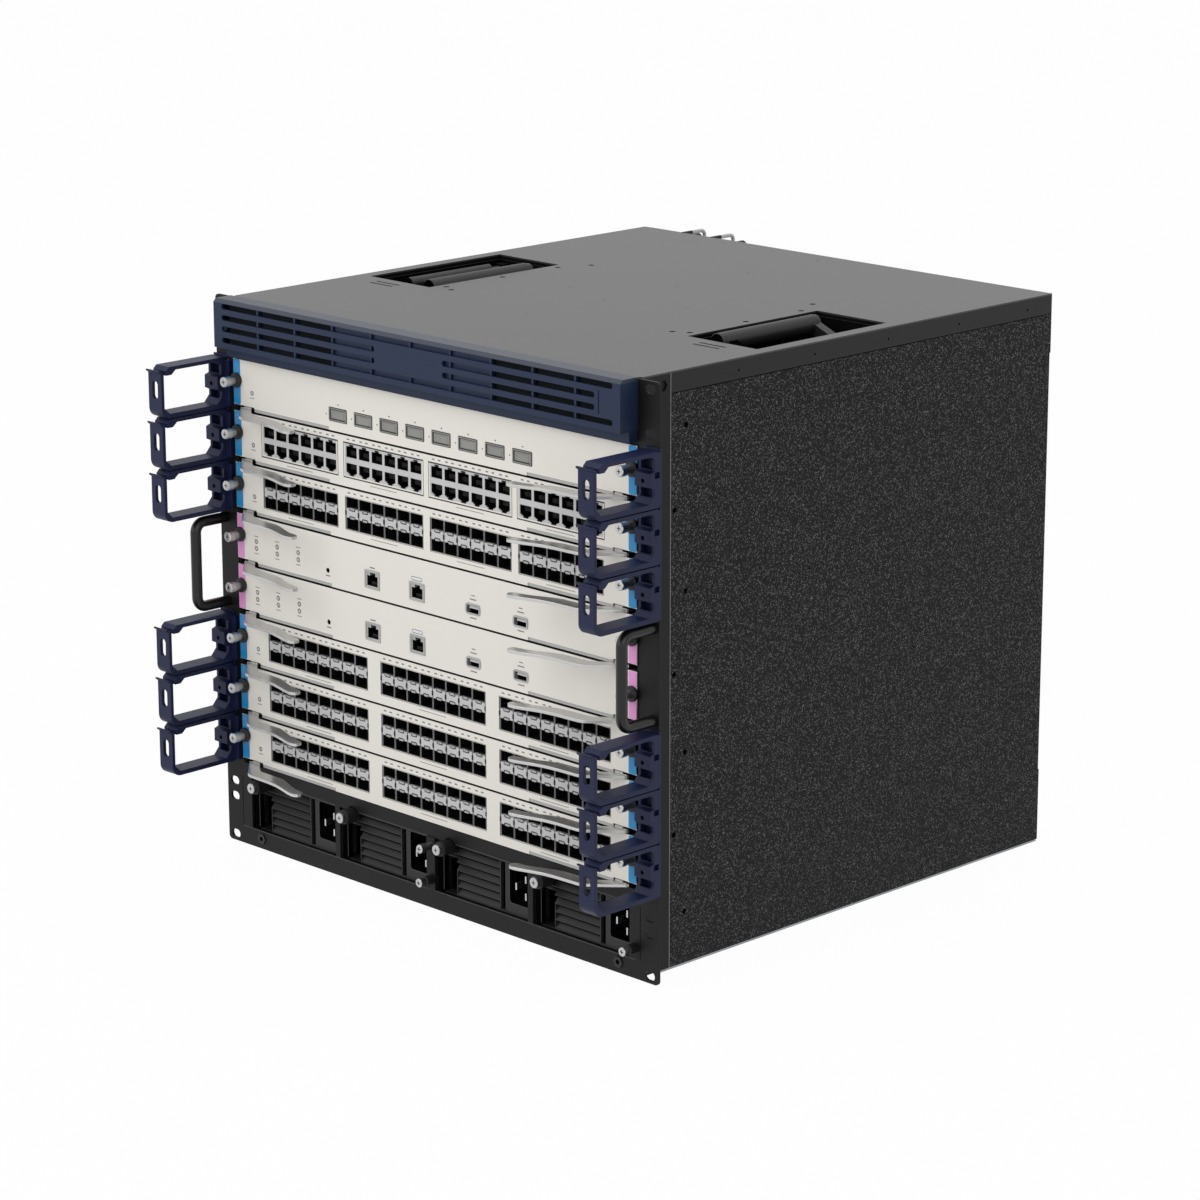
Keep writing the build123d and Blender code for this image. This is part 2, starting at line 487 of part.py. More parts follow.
with BuildPart() as inserts:
    for s in (-1, 1):
        with BuildSketch(Plane.XZ.offset(-FRONT + 1.0)):
            with Locations((s * 200.5, 9.0)):
                RegularPolygon(4.6, 6)
                Circle(1.9, mode=Mode.SUBTRACT)
        extrude(amount=-1.0)
        with BuildSketch(Plane.XZ.offset(-FRONT)):
            with Locations((s * 200.5, 9.0)):
                Circle(2.5)
                Circle(1.9, mode=Mode.SUBTRACT)
        extrude(amount=-6.0)
save(inserts, "ground_inserts")
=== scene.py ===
# %% [markdown]
# A ten-unit chassis switch stands on a plain white floor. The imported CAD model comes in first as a
# fixed frame: it already has every panel, card, lever and supply at its real size. The cells below
# give each of those parts its finish and add what is too fine for the CAD model: port cages, jacks,
# knurled thumbscrews, coloured end strips, printed marks and inlet pins.

# %% Frame
import json
import math

import bpy
import numpy as np
from mathutils import Matrix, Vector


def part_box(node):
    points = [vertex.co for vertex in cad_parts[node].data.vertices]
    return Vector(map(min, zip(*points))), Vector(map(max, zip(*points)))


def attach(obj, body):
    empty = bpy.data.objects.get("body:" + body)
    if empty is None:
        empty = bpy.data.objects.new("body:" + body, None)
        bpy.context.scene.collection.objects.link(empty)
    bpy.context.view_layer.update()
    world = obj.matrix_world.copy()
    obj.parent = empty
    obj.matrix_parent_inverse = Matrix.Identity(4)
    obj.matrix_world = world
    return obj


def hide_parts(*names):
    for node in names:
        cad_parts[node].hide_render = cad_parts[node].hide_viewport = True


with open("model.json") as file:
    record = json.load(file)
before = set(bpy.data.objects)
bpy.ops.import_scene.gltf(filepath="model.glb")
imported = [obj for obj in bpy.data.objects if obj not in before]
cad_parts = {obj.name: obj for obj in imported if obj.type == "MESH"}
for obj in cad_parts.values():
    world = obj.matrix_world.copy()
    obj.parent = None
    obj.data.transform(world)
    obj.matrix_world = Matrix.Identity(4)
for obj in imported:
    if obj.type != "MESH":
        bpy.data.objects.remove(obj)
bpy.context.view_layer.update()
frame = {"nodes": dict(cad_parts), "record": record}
nodes = frame["nodes"]
MM = 0.001
mounts = {m["name"]: m for m in frame["record"]["mounts"]}
EAR_FRONT = mounts["rack_holes_outer"]["pos_m"][1] / MM

# %% [markdown]
# Sizes that several pieces share are read from the frame or are the CAD model's own numbers, so a
# piece follows its part. All sizes in this script are millimetres, with y counted from the front
# face of the rack ears. The cards are all alike, so one height over a card's lower edge places the
# same small piece on each of them.

# %% Sizes and names of the parts
KNOB_RISE = 22.8           # centre of a card's thumbscrews over the bottom of its faceplate
KNOB_X = 216.0             # the thumbscrews' distance from the middle
PLATE_Y = -1.0             # front face of the card faceplates
SUPPLY_Y = 3.0             # front faces of the power supplies
REAR_Y = 453.5             # rear face of the chassis
LID_Z = 444.5              # top face of the lid
CARDS = range(1, 9)
CONTROL_CARDS = (4, 5)
SUPPLIES = range(1, 5)
SIDES = (("left", -1), ("right", 1))


def limits(node):
    """Lowest and highest corner of a CAD node in this script's millimetres."""
    low, high = (np.array(c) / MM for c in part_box(node))
    return low - (0, EAR_FRONT, 0), high - (0, EAR_FRONT, 0)


def middle(node):
    """Centre of a CAD node's box."""
    low, high = limits(node)
    return (low + high) / 2


CARD_Z = {k: middle(f"card_screws_{k}")[2] - KNOB_RISE for k in CARDS}
print("slot heights", {k: round(z, 1) for k, z in CARD_Z.items()})

# %% [markdown]
# Every material starts from its real finish. One helper turns sRGB hex values into the linear
# numbers that Blender mixes, and one adds a node with its settings and links. All patterns read
# Object coordinates, so a grain keeps its size in millimetres and rides with a piece that moves.

# %% Colour and node helpers
PER_METRE = 1000           # millimetres in a metre: a pattern's scale is this over its size in mm


def linear(code):
    """Linear RGBA of an sRGB hex value: each channel c becomes ((c + 0.055) / 1.055) ** 2.4."""
    srgb = np.array([int(code[i:i + 2], 16) for i in (1, 3, 5)]) / 255
    low, high = srgb / 12.92, ((srgb + 0.055) / 1.055) ** 2.4
    return (*np.where(srgb <= 0.04045, low, high).tolist(), 1.0)


def add(tree, kind, settings=None, **inputs):
    """Add a node; settings are its properties, inputs are values or sockets to link."""
    made = tree.nodes.new(kind)
    for key, value in (settings or {}).items():
        setattr(made, key, value)
    for key, value in inputs.items():
        socket = made.inputs[int(key[1:])] if key[1:].isdigit() else made.inputs[key.replace("_", " ")]
        if isinstance(value, bpy.types.NodeSocket):
            tree.links.new(value, socket)
        else:
            socket.default_value = value
    return made


print("mid grey #808080 is", round(linear("#808080")[0], 3), "in linear light")

# %% [markdown]
# Most finishes here are a Principled shader whose colour wanders slightly and whose fine grain is
# bumps. An image could give both, but noise needs no file and never repeats.

# %% Grained finishes


def surface(name, code, roughness, metallic=0.0, **shader):
    """A material with a Principled shader, its tree and its object coordinates."""
    made = bpy.data.materials.new(name)
    made.use_nodes = True
    tree = made.node_tree
    bsdf = tree.nodes["Principled BSDF"]
    bsdf.inputs["Base Color"].default_value = linear(code)
    bsdf.inputs["Roughness"].default_value = roughness
    bsdf.inputs["Metallic"].default_value = metallic
    for key, value in shader.items():
        bsdf.inputs[key.replace("_", " ")].default_value = value
    place = add(tree, "ShaderNodeTexCoord").outputs["Object"]
    return made, tree, bsdf, place


def fill(ramp, stops):
    """Set the stops of a colour ramp: [(position, hex), ...] in rising order."""
    elements = ramp.color_ramp.elements
    elements[0].position, elements[0].color = stops[0][0], linear(stops[0][1])
    elements[1].position, elements[1].color = stops[-1][0], linear(stops[-1][1])
    for position, code in stops[1:-1]:
        elements.new(position).color = linear(code)


def grained(name, code, other, roughness, grain, height, metallic=0.0, edge=0.0, **shader):
    """A surface whose colour wanders between two hex values and whose bumps are grain mm wide.

    With edge, the shading turns round every sharp edge over that many mm, as worn paint does."""
    made, tree, bsdf, place = surface(name, code, roughness, metallic, **shader)
    noise = add(tree, "ShaderNodeTexNoise", Vector=place, Scale=PER_METRE / grain, Detail=3.0,
                Roughness=0.5)
    wide = add(tree, "ShaderNodeTexNoise", Vector=place, Scale=PER_METRE / (grain * 40), Detail=4.0)
    ramp = add(tree, "ShaderNodeValToRGB", Fac=wide.outputs["Fac"])
    fill(ramp, [(0.35, code), (0.65, other)])
    bump = add(tree, "ShaderNodeBump", Height=noise.outputs["Fac"], Strength=0.35, Distance=height * MM)
    if edge:
        soft = add(tree, "ShaderNodeBevel", {"samples": 4}, Radius=edge * MM)
        tree.links.new(soft.outputs["Normal"], bump.inputs["Normal"])
    tree.links.new(ramp.outputs["Color"], bsdf.inputs["Base Color"])
    tree.links.new(bump.outputs["Normal"], bsdf.inputs["Normal"])
    return made


print("a grain of 0.8 mm is a noise scale of", PER_METRE / 0.8)

# %% [markdown]
# The chassis is steel with a black powder coat. Sprayed powder melts into a skin with a faint
# orange-peel grain, here 0.8 mm wide, and reflects softly. In the wells it lies in shade, so the coat
# there is darker and hardly reflects. The lid is the same coat, seen nearly edge-on, so it mirrors
# the bright room and looks grey; its top is given a lighter colour as painted reflection.

# %% Black powder coat
black_coat = grained("black_powder_coat", "#101011", "#141415", 0.5, 0.8, 0.02, edge=0.5,
                     Specular_IOR_Level=0.2)
well_coat = grained("shaded_powder_coat", "#0a0a0a", "#0e0e0e", 0.6, 0.8, 0.02, Specular_IOR_Level=0.03)
print("powder coats:", black_coat.name, "and", well_coat.name)

# %% [markdown]
# The side panels carry a coarse hammered coat: dark paint with pale flecks a little under a
# millimetre across. A noise would give soft clouds, so small cells get a random tone each, and a
# wide noise makes the flecks slightly thicker in some places than in others, as sprayed paint is.

# %% Hammered side coat
FLECK, DRIFT = 0.75, 6.0   # sizes in mm of one fleck and of the drift in their tone


def hammered_coat():
    """Flecks: each cell gets a random tone from 0 to 1, plus 0.12 times (drift noise - 0.5)."""
    made, tree, bsdf, place = surface("hammered_side_coat", "#202021", 0.6, Specular_IOR_Level=0.17)
    cells = add(tree, "ShaderNodeTexVoronoi", Vector=place, Scale=PER_METRE / FLECK)
    tone = add(tree, "ShaderNodeSeparateColor", Color=cells.outputs["Color"]).outputs["Red"]
    drift = add(tree, "ShaderNodeTexNoise", Vector=place, Scale=PER_METRE / DRIFT, Detail=3.0)
    sway = add(tree, "ShaderNodeMath", {"operation": "MULTIPLY_ADD"}, _0=drift.outputs["Fac"],
               _1=0.12, _2=-0.06)
    mixed = add(tree, "ShaderNodeMath", {"operation": "ADD"}, _0=tone, _1=sway.outputs[0])
    ramp = add(tree, "ShaderNodeValToRGB", Fac=mixed.outputs[0])
    fill(ramp, [(0.05, "#020203"), (0.45, "#090909"), (0.8, "#1d1d1f"), (1.0, "#6e6e70")])
    bump = add(tree, "ShaderNodeBump", Height=tone, Strength=0.5, Distance=0.12 * MM)
    tree.links.new(ramp.outputs["Color"], bsdf.inputs["Base Color"])
    tree.links.new(bump.outputs["Normal"], bsdf.inputs["Normal"])
    return made


side_coat = hammered_coat()
print("side coat with flecks of", FLECK, "mm")

# %% [markdown]
# Several CAD nodes are one piece in the model but carry more than one finish. A card has a painted
# faceplate, tin-plated cage fronts just behind it, painted shade inside the cages and a zinc-plated
# tray. The lid's flat top gets a lighter colour as painted reflection, and its folded flange is dark.
# Position tells these apart, so such a material picks its colour in steps along one axis.

# %% Finishes in steps


def stepped(name, axis, steps, roughness, shine=None, grain=0.7, **shader):
    """Constant colours along X, Y or Z: steps is [(mm, hex), ...], each colour from its mm on.

    shine is (mm, level below, level above) for the strength of the clear reflection."""
    made, tree, bsdf, place = surface(name, steps[0][1], roughness, **shader)
    along = add(tree, "ShaderNodeSeparateXYZ", Vector=place).outputs[axis]
    start = EAR_FRONT if axis == "Y" else 0.0
    first, last = steps[0][0], steps[-1][0] + 1
    share = add(tree, "ShaderNodeMapRange", Value=along)
    share.inputs["From Min"].default_value = (start + first) * MM
    share.inputs["From Max"].default_value = (start + last) * MM
    ramp = add(tree, "ShaderNodeValToRGB", Fac=share.outputs["Result"])
    ramp.color_ramp.interpolation = "CONSTANT"
    fill(ramp, [((at - first) / (last - first), code) for at, code in steps])
    if shine:
        above = add(tree, "ShaderNodeMath", {"operation": "GREATER_THAN"}, _0=along,
                    _1=(start + shine[0]) * MM)
        level = add(tree, "ShaderNodeMath", {"operation": "MULTIPLY_ADD"}, _0=above.outputs[0],
                    _1=shine[2] - shine[1], _2=shine[1])
        tree.links.new(level.outputs[0], bsdf.inputs["Specular IOR Level"])
    noise = add(tree, "ShaderNodeTexNoise", Vector=place, Scale=PER_METRE / grain, Detail=2.0)
    bump = add(tree, "ShaderNodeBump", Height=noise.outputs["Fac"], Strength=0.2, Distance=0.02 * MM)
    tree.links.new(ramp.outputs["Color"], bsdf.inputs["Base Color"])
    tree.links.new(bump.outputs["Normal"], bsdf.inputs["Normal"])
    return made


# warm white paint, tin cage fronts, painted shade inside the cages, the zinc-plated tray
faceplate_paint_and_cage_shade = stepped("faceplate_with_painted_cage_shade", "Y",
                          [(PLATE_Y - 1, "#e3dfd8"), (PLATE_Y + 0.25, "#a9a9a7"),
                           (PLATE_Y + 0.55, "#0b0b0b"), (PLATE_Y + 17.5, "#8d9092")], 0.42)
# painted reflection: the bright top is given a lighter colour than the folded flange
lid_coat_painted_reflection = stepped("lid_coat_with_painted_reflection", "Z", [(LID_Z - 20, "#161617"), (LID_Z - 1.2, "#2e2e2f")], 0.38,
                   (LID_Z - 1.2, 0.24, 0.5), 0.8)
# the moulded front, painted shade in the hollows in it, the coated case behind
supply_front_and_hollow_shade = stepped("black_front_with_painted_hollow_shade", "Y",
                       [(SUPPLY_Y - 18, "#29292a"), (SUPPLY_Y + 3.2, "#050505"),
                        (SUPPLY_Y + 24, "#1b1b1c")], 0.45, (SUPPLY_Y + 3.2, 0.24, 0.0))
# the fan tray's sheet, then its wire handle and knob behind it
tray_coat = stepped("black_coat_and_bare_wire", "Y", [(300, "#141415"), (REAR_Y + 11.2, "#b4b4b4")],
                    0.4, (REAR_Y + 11.2, 0.25, 0.6))
# the lifting handle's near arm stands in the well's shade
arm_coat = stepped("handle_powder_coat", "Y", [(100, "#060606"), (165, "#1c1c1d")], 0.45,
                   (165, 0.0, 0.4))
# the bezel's face, then its top band in a lighter colour: painted reflection of the room
bezel_abs_painted_reflection = stepped("navy_abs_with_painted_reflection", "Z", [(390, "#1b2842"), (LID_Z - 2.2, "#2c3242")], 0.46,
                    (LID_Z - 2.4, 0.25, 0.5), 0.6)
print("stepped finishes:", ", ".join(made.name for made in (faceplate_paint_and_cage_shade, lid_coat_painted_reflection, supply_front_and_hollow_shade,
                                                            tray_coat, arm_coat, bezel_abs_painted_reflection)))

# %% [markdown]
# The rest of the finishes: chromed levers, satin nickel screws, navy nylon mouldings, tin-plated
# cages, black PBT jacks, printed marks and the two label colours. Each is real paint, plating or
# plastic with a faint grain, so one function makes them all: its numbers are the roughness, the
# width and the height of the grain in mm.

# %% Other finishes
# chrome plate over pressed steel: a blurred mirror, pale where it meets the white room
chrome = grained("satin_chromed_steel", "#c8c8c7", "#c0c0bf", 0.29, 2.0, 0.0005, metallic=1.0, edge=0.5)
# the levers' turned-up roots: the same steel rubbed dull, an even pale grey
root_steel = grained("satin_steel_root", "#b0aeaa", "#a8a6a2", 0.45, 1.0, 0.002, metallic=0.4, edge=0.4)
# nickel plate on the knurled heads: a bright metal with soft highlights on each rib
nickel = grained("satin_nickel", "#c4c4c5", "#b9b9ba", 0.34, 0.4, 0.01, metallic=1.0)
# blackened and oxide-black steel: dark collars with a faint sheen, and screws without any
black_screw = grained("blackened_steel", "#1a1a1b", "#202021", 0.4, 0.5, 0.01, Specular_IOR_Level=0.35)
black_oxide = grained("black_oxide_screw", "#050505", "#070707", 0.6, 0.5, 0.01, Specular_IOR_Level=0.0)
# moulded rubber: dark grey, with one broad soft highlight along the sleeve
grip_rubber = grained("moulded_grip_sleeve", "#1f1f20", "#222223", 0.45, 0.8, 0.01,
                      Specular_IOR_Level=0.35)
# stoved enamel on the rod handles: black with a clear narrow highlight
gloss_bar = grained("black_gloss_enamel", "#101011", "#131314", 0.3, 1.5, 0.01, Specular_IOR_Level=0.4)
# zinc plate on the inner sheets: slightly cloudy grey metal
zinc = grained("zinc_plated_steel", "#9b9ea1", "#8b8e92", 0.38, 1.5, 0.01, metallic=0.85)
# moulded nylon brackets: matt navy with a little shine on their rounded edges
dark_navy = grained("navy_moulded_nylon", "#171d3b", "#191f3f", 0.46, 0.6, 0.015, edge=0.7,
                    Specular_IOR_Level=0.24)
# tin plate on the cages: bright in front, greyer on the walls and flaps that stand in shade
tin = grained("tin_plated_cage", "#b3b3b2", "#a6a6a5", 0.36, 0.6, 0.01, metallic=0.55)
cage_wall = grained("shaded_cage_wall", "#6c6c70", "#65656a", 0.42, 0.6, 0.01, metallic=0.3)
flap_inner = grained("shaded_cage_flap", "#8f8e8a", "#868581", 0.45, 0.8, 0.02, metallic=0.1)
# pale ABS housings with a satin skin, and black with the same skin for painted shade in slots, gaps and
# notches
pale_abs = grained("pale_jack_housing", "#c3c3c3", "#bdbdbd", 0.45, 0.5, 0.01)
slot_shade = grained("painted_slot_shade", "#0c0c0c", "#101010", 0.5, 0.5, 0.01, Specular_IOR_Level=0.2)
# painted highlight: thin grey lines on black moulding where its edges catch the light
edge_highlight_line = grained("painted_edge_highlight", "#4a4a4c", "#464648", 0.45, 0.6, 0.01,
                     Specular_IOR_Level=0.3)
# open foam: its holes swallow light, so it is nearly black behind the slots
foam = grained("open_cell_foam", "#0d0f12", "#14171c", 0.9, 1.2, 0.8, Specular_IOR_Level=0.2)
# lacquer over a circuit board: glossy green
board = grained("green_circuit_board", "#1d5a3c", "#17492f", 0.4, 3.0, 0.02)
# painted shade: dark lines round the windows and over and under the jack blocks, the windows' frames
# drawn darker than tin, and the bare cut edge of a panel
shade_line = grained("painted_shade_line", "#2e2e2c", "#282826", 0.6, 0.5, 0.002)
shaded_window_frame = grained("tin_frame_painted_shade", "#8f8e8b", "#868582", 0.5, 0.8, 0.003, metallic=0.3)
bare_edge = grained("bare_panel_edge", "#85888a", "#7c7f81", 0.5, 1.5, 0.005, metallic=0.85)
# screen print and seams: flat ink without shine
print_grey = grained("grey_screen_print", "#807e7b", "#7a7873", 0.6, 0.5, 0.002)
print_pale = grained("pale_screen_print", "#96948f", "#8e8c87", 0.6, 0.5, 0.002)
line_grey = grained("dark_seam_line", "#5b5956", "#54524f", 0.6, 0.5, 0.002)
# printed label film: clean colour with a soft shine
blue_film = grained("blue_label_film", "#1285c0", "#1488c4", 0.34, 0.8, 0.003)
pink_film = grained("pink_label_film", "#dd93cb", "#df97ce", 0.34, 0.8, 0.003)
# blue ink round the second jack's mark, and contacts that stand in deep shade
blue_print = grained("blue_screen_print", "#3c5f93", "#3f6397", 0.55, 0.5, 0.002)
contact = grained("shaded_contact", "#2e2c29", "#282622", 0.4, 0.5, 0.002, metallic=0.4)

CAD_FINISH = {
    "front_frame": black_coat, "frame_returns": black_coat, "rear_panel": black_coat,
    "power_deck": black_coat, "power_cage": zinc, "bottom_pan": zinc, "card_guide_left": zinc,
    "card_guide_right": zinc, "side_panel_left": side_coat, "side_panel_right": side_coat,
    "panel_screws": black_oxide, "top_cover": lid_coat_painted_reflection, "handle_wells": well_coat, "backplane": board,
    "cable_brackets": dark_navy, "carry_handles": gloss_bar, "frame_thumbscrews": nickel,
    "ground_inserts": black_screw, "fan_tray_1": tray_coat, "fan_tray_2": tray_coat,
    "top_handle_left": arm_coat, "top_handle_right": arm_coat, "intake_bezel": bezel_abs_painted_reflection,
    "air_filter": foam,
    **{f"card_{k}": faceplate_paint_and_cage_shade for k in CARDS},
    **{f"card_screws_{k}": nickel for k in CARDS},
    **{f"lever_{k}_{side}": chrome for k in CARDS for side, _ in SIDES},
    **{f"psu_{k}": supply_front_and_hollow_shade for k in SUPPLIES},
}


def finish_node(name, material):
    """Put one material on all the slots of a CAD node."""
    item = nodes[name]
    if not item.material_slots:
        item.data.materials.append(material)
    for held in item.material_slots:
        held.material = material


for name, material in CAD_FINISH.items():
    finish_node(name, material)
print("finished", len(CAD_FINISH), "of", len(nodes), "CAD nodes")

# %% [markdown]
# Nearly every added piece is a run of closed outlines, one behind the other: a label, a screw, a
# frame or a plug opening. Drawing them by hand would take hundreds of objects, so two functions give
# the outlines that are needed, a rounded rectangle and a circle.

# %% Outlines


def rounded(width, height, radius, steps=3):
    """Outline of a rectangle with arcs at its corners, anticlockwise seen from the front.

    Each corner is the arc centre plus radius times (cos a, sin a) over a quarter turn."""
    turn = np.linspace(0, np.pi / 2, steps + 1)
    arc = np.stack([np.cos(turn), np.sin(turn)], 1) * radius
    corners = []
    for quarter, (sx, sz) in enumerate(((1, 1), (-1, 1), (-1, -1), (1, -1))):
        c, s = math.cos(quarter * math.pi / 2), math.sin(quarter * math.pi / 2)
        centre = (sx * (width / 2 - radius), sz * (height / 2 - radius))
        corners.append(arc @ np.array([[c, s], [-s, c]]) + centre)
    return np.concatenate(corners)


def circle(radius, steps=32):
    """Outline of a circle, anticlockwise seen from the front."""
    turn = np.linspace(0, 2 * np.pi, steps, endpoint=False)
    return np.stack([np.cos(turn), np.sin(turn)], 1) * radius


print("a rounded rectangle has", len(rounded(2.0, 1.0, 0.2)), "points")

# %% [markdown]
# A solid is a skin over outlines that lie one behind the other, and it is repeated at many places at
# once, so a row of 48 ports is one array operation. A plate, a frame and a turned piece differ only
# in their outlines, so each is one short function over the same skin.

# %% Joining outlines


def solid(sections, places, ring=False):
    """Join outlines (x, z) at depths y into closed solids, one at each place.

    sections is [(outline, y), ...] from the front to the back. With ring, the last outline is
    joined to the first, which makes a frame with a hole; else both ends get a cap."""
    loops = np.stack([np.stack([o[:, 0], np.full(len(o), float(y)), o[:, 1]], 1) for o, y in sections])
    count, size = loops.shape[:2]
    points = loops.reshape(-1, 3)[None] + np.asarray(places, float).reshape(-1, 1, 3)
    i, j = np.meshgrid(np.arange(size), np.arange(count if ring else count - 1))
    k, n = (i + 1) % size, (j + 1) % count
    quads = np.stack([j * size + i, n * size + i, n * size + k, j * size + k], -1).reshape(-1, 4)
    caps = [] if ring else [np.arange(size), np.arange(size)[::-1] + (count - 1) * size]
    faces = []
    for copy in range(len(points)):
        shift = copy * count * size
        faces += (quads + shift).tolist() + [(cap + shift).tolist() for cap in caps]
    return points.reshape(-1, 3), faces


def plate(width, height, y0, y1, places, radius=0.0, edge=0.12):
    """A thin plate with a small chamfer of edge mm round its front face."""
    r = max(radius, 0.01)
    steps = 3 if radius else 1
    inner = rounded(width - 2 * edge, height - 2 * edge, max(r - edge, 0.005), steps)
    outer = rounded(width, height, r, steps)
    return solid([(inner, y0), (outer, y0 + edge), (outer, y1)], places)


def rim(width, height, wall, y0, y1, places, radius=0.5):
    """A frame round an opening: outer outline back and front, then inner outline front and back."""
    outer = rounded(width, height, radius)
    inner = rounded(width - 2 * wall, height - 2 * wall, max(radius - wall, 0.1))
    return solid([(outer, y0), (outer, y1), (inner, y1), (inner, y0)], places, ring=True)


def lathe(profile, places, steps=32):
    """A turned piece: circles of the profile's radii at its depths, front first."""
    return solid([(circle(r, steps), y) for r, y in profile], places)


print("a plate has", len(plate(1.0, 1.0, 0.0, 1.0, [(0, 0, 0)])[1]), "faces")

# %% [markdown]
# Last, the solids of one piece are merged into one Blender object. Its place is in its mesh and the
# object itself stays at the origin, so it rides on its CAD body without a jump.

# %% Pieces on the model


def make(name, body, parts):
    """Merge (solid, material) pairs into one object at the origin that rides on a CAD body.

    The shading turns sharply wherever two faces meet at more than 32 degrees."""
    points, faces, index, used = [], [], [], []
    total = 0
    for (verts, polys), material in parts:
        if material not in used:
            used.append(material)
        points.append(verts)
        faces += [[v + total for v in face] for face in polys]
        index += [used.index(material)] * len(polys)
        total += len(verts)
    place = (np.concatenate(points) + (0, EAR_FRONT, 0)) * MM
    mesh = bpy.data.meshes.new(name)
    mesh.from_pydata(place.tolist(), [], faces)
    mesh.polygons.foreach_set("material_index", np.array(index, np.int32))
    mesh.polygons.foreach_set("use_smooth", np.ones(len(faces), bool))
    mesh.set_sharp_from_angle(angle=math.radians(32))
    for material in used:
        mesh.materials.append(material)
    mesh.update()
    item = bpy.data.objects.new(name, mesh)
    bpy.context.scene.collection.objects.link(item)
    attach(item, body)
    return item


def grid(xs, y, zs):
    """All the places (x, y, z) of columns xs and rows zs."""
    x, z = np.meshgrid(np.asarray(xs, float), np.asarray(zs, float))
    return np.stack([x.ravel(), np.full(x.size, float(y)), z.ravel()], 1)


print("a grid of three columns and two rows has", len(grid((0, 1, 2), 0, (0, 1))), "places")

# %% [markdown]
# A captive thumbscrew has a black collar against the faceplate, a bright shank and a knurled head
# with a cross recess. It is turned on a lathe, so circles along its axis give the grooves. The knurl
# could be a bump, but its outline shows against the paint, so it is a ring of real ribs: the radius
# swings by 0.14 mm, 20 times round the head.

# %% Thumbscrews


def ribbed(radius, ribs=20, depth=0.14):
    """Outline of a knurled bar: radius plus depth times the cosine of ribs times the angle."""
    turn = np.linspace(0, 2 * np.pi, ribs * 4, endpoint=False)
    r = radius + depth * np.cos(ribs * turn)
    return np.stack([np.cos(turn) * r, np.sin(turn) * r], 1)


def thumbscrew(places, length, head=4.1, collar=5.8, collar_length=3.0, shank=4.1):
    """Parts of screws whose head's front lies length mm in front of their seat."""
    steps = len(ribbed(head))
    y = -length
    bright = solid([(circle(head - 0.9, steps), y), (circle(head - 0.35, steps), y + 0.1),
                    (circle(head, steps), y + 0.5), (ribbed(head - 0.1), y + 0.8),
                    (ribbed(head - 0.1), y + 5.6), (circle(head - 0.3, steps), y + 5.9),
                    (circle(shank - 0.5, steps), y + 6.3), (circle(shank - 0.5, steps), -0.2)], places)
    dark = lathe([(collar - 1.6, -collar_length), (collar - 0.4, -collar_length + 0.1),
                  (collar, -collar_length + 0.6), (collar, -0.5), (collar - 0.2, -0.02)], places)
    # painted shade: two dark plates on the head's face stand for its cross recess
    slot = plate(3.4, 0.8, y - 0.02, y + 0.3, places, edge=0.01)
    cross = plate(0.8, 3.4, y - 0.021, y + 0.3, places, edge=0.01)
    return [(bright, nickel), (dark, black_screw), (slot, black_screw), (cross, black_screw)]


for k in CARDS:
    z = CARD_Z[k] + KNOB_RISE
    screws = make(f"thumbscrews_{k}", f"card_{k}",
                  thumbscrew([(-KNOB_X, PLATE_Y, z), (KNOB_X, PLATE_Y, z)], 14.0))
    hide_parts(f"card_screws_{k}")
# the frame's rails carry one bare screw and two in long sleeves
bare = thumbscrew([(1.2, -1.0, 51.2)], 13.0, head=3.4, collar=3.6, collar_length=1.0, shank=3.6)
sleeved = thumbscrew([(1.2, -1.0, 24.4), (217.6, 0.0, 24.4)], 14.0, head=3.4, collar=3.7,
                     collar_length=8.0, shank=3.4)
screws = make("rail_thumbscrews", "chassis", bare + sleeved)
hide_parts("frame_thumbscrews")
print("thumbscrews on", len(CARDS), "cards and the frame")

# %% [markdown]
# Each card ends in a coloured strip that tells its kind: blue on the line cards, pink on the two
# control cards. A strip could be painted on, but the real ones are film labels with rounded corners
# that catch light at the rim, so each is a plate a third of a millimetre thick.

# %% End strips
STRIP_X, STRIP_W = 216.0, 7.9
STRIP_LOW, STRIP_TOP = 3.7, 39.3
for k in CARDS:
    film = pink_film if k in CONTROL_CARDS else blue_film
    z = CARD_Z[k] + (STRIP_LOW + STRIP_TOP) / 2
    strip = plate(STRIP_W, STRIP_TOP - STRIP_LOW, PLATE_Y - 0.35, PLATE_Y,
                  [(-STRIP_X, 0, z), (STRIP_X, 0, z)], radius=1.6, edge=0.15)
    make(f"end_strips_{k}", f"card_{k}", [(strip, film)])
print("end strips on", len(CARDS), "cards,", len(CONTROL_CARDS), "of them pink")

# %% [markdown]
# At its root each lever turns up into a small tab that fills the notch in the faceplate. The tab
# is low towards the frame, where the lever swings in through its cut, so two plates of different
# height make its step.

# %% Lever roots
for k in CARDS:
    for side, way in SIDES:
        z = CARD_Z[k]
        low_tab = plate(12.2, 3.0, PLATE_Y - 1.4, PLATE_Y - 0.2, [(way * 205.0, 0, z + 0.7)],
                        radius=0.2, edge=0.3)
        high_tab = plate(8.0, 2.4, PLATE_Y - 1.41, PLATE_Y - 0.2, [(way * 202.9, 0, z + 2.1)],
                         radius=0.6, edge=0.3)
        make(f"lever_root_{k}_{side}", f"lever_{k}_{side}",
             [(low_tab, root_steel), (high_tab, root_steel)])
print("roots on", len(CARDS) * len(SIDES), "levers")

# %% [markdown]
# Optical ports come as pressed cages. Each column has an upper and a lower cavity with a light band
# between them, which carries the two spring tongues that hold the plugs. Thin tin walls divide the
# columns. The CAD model has the cavities, so plates in front of them are enough for the rest.

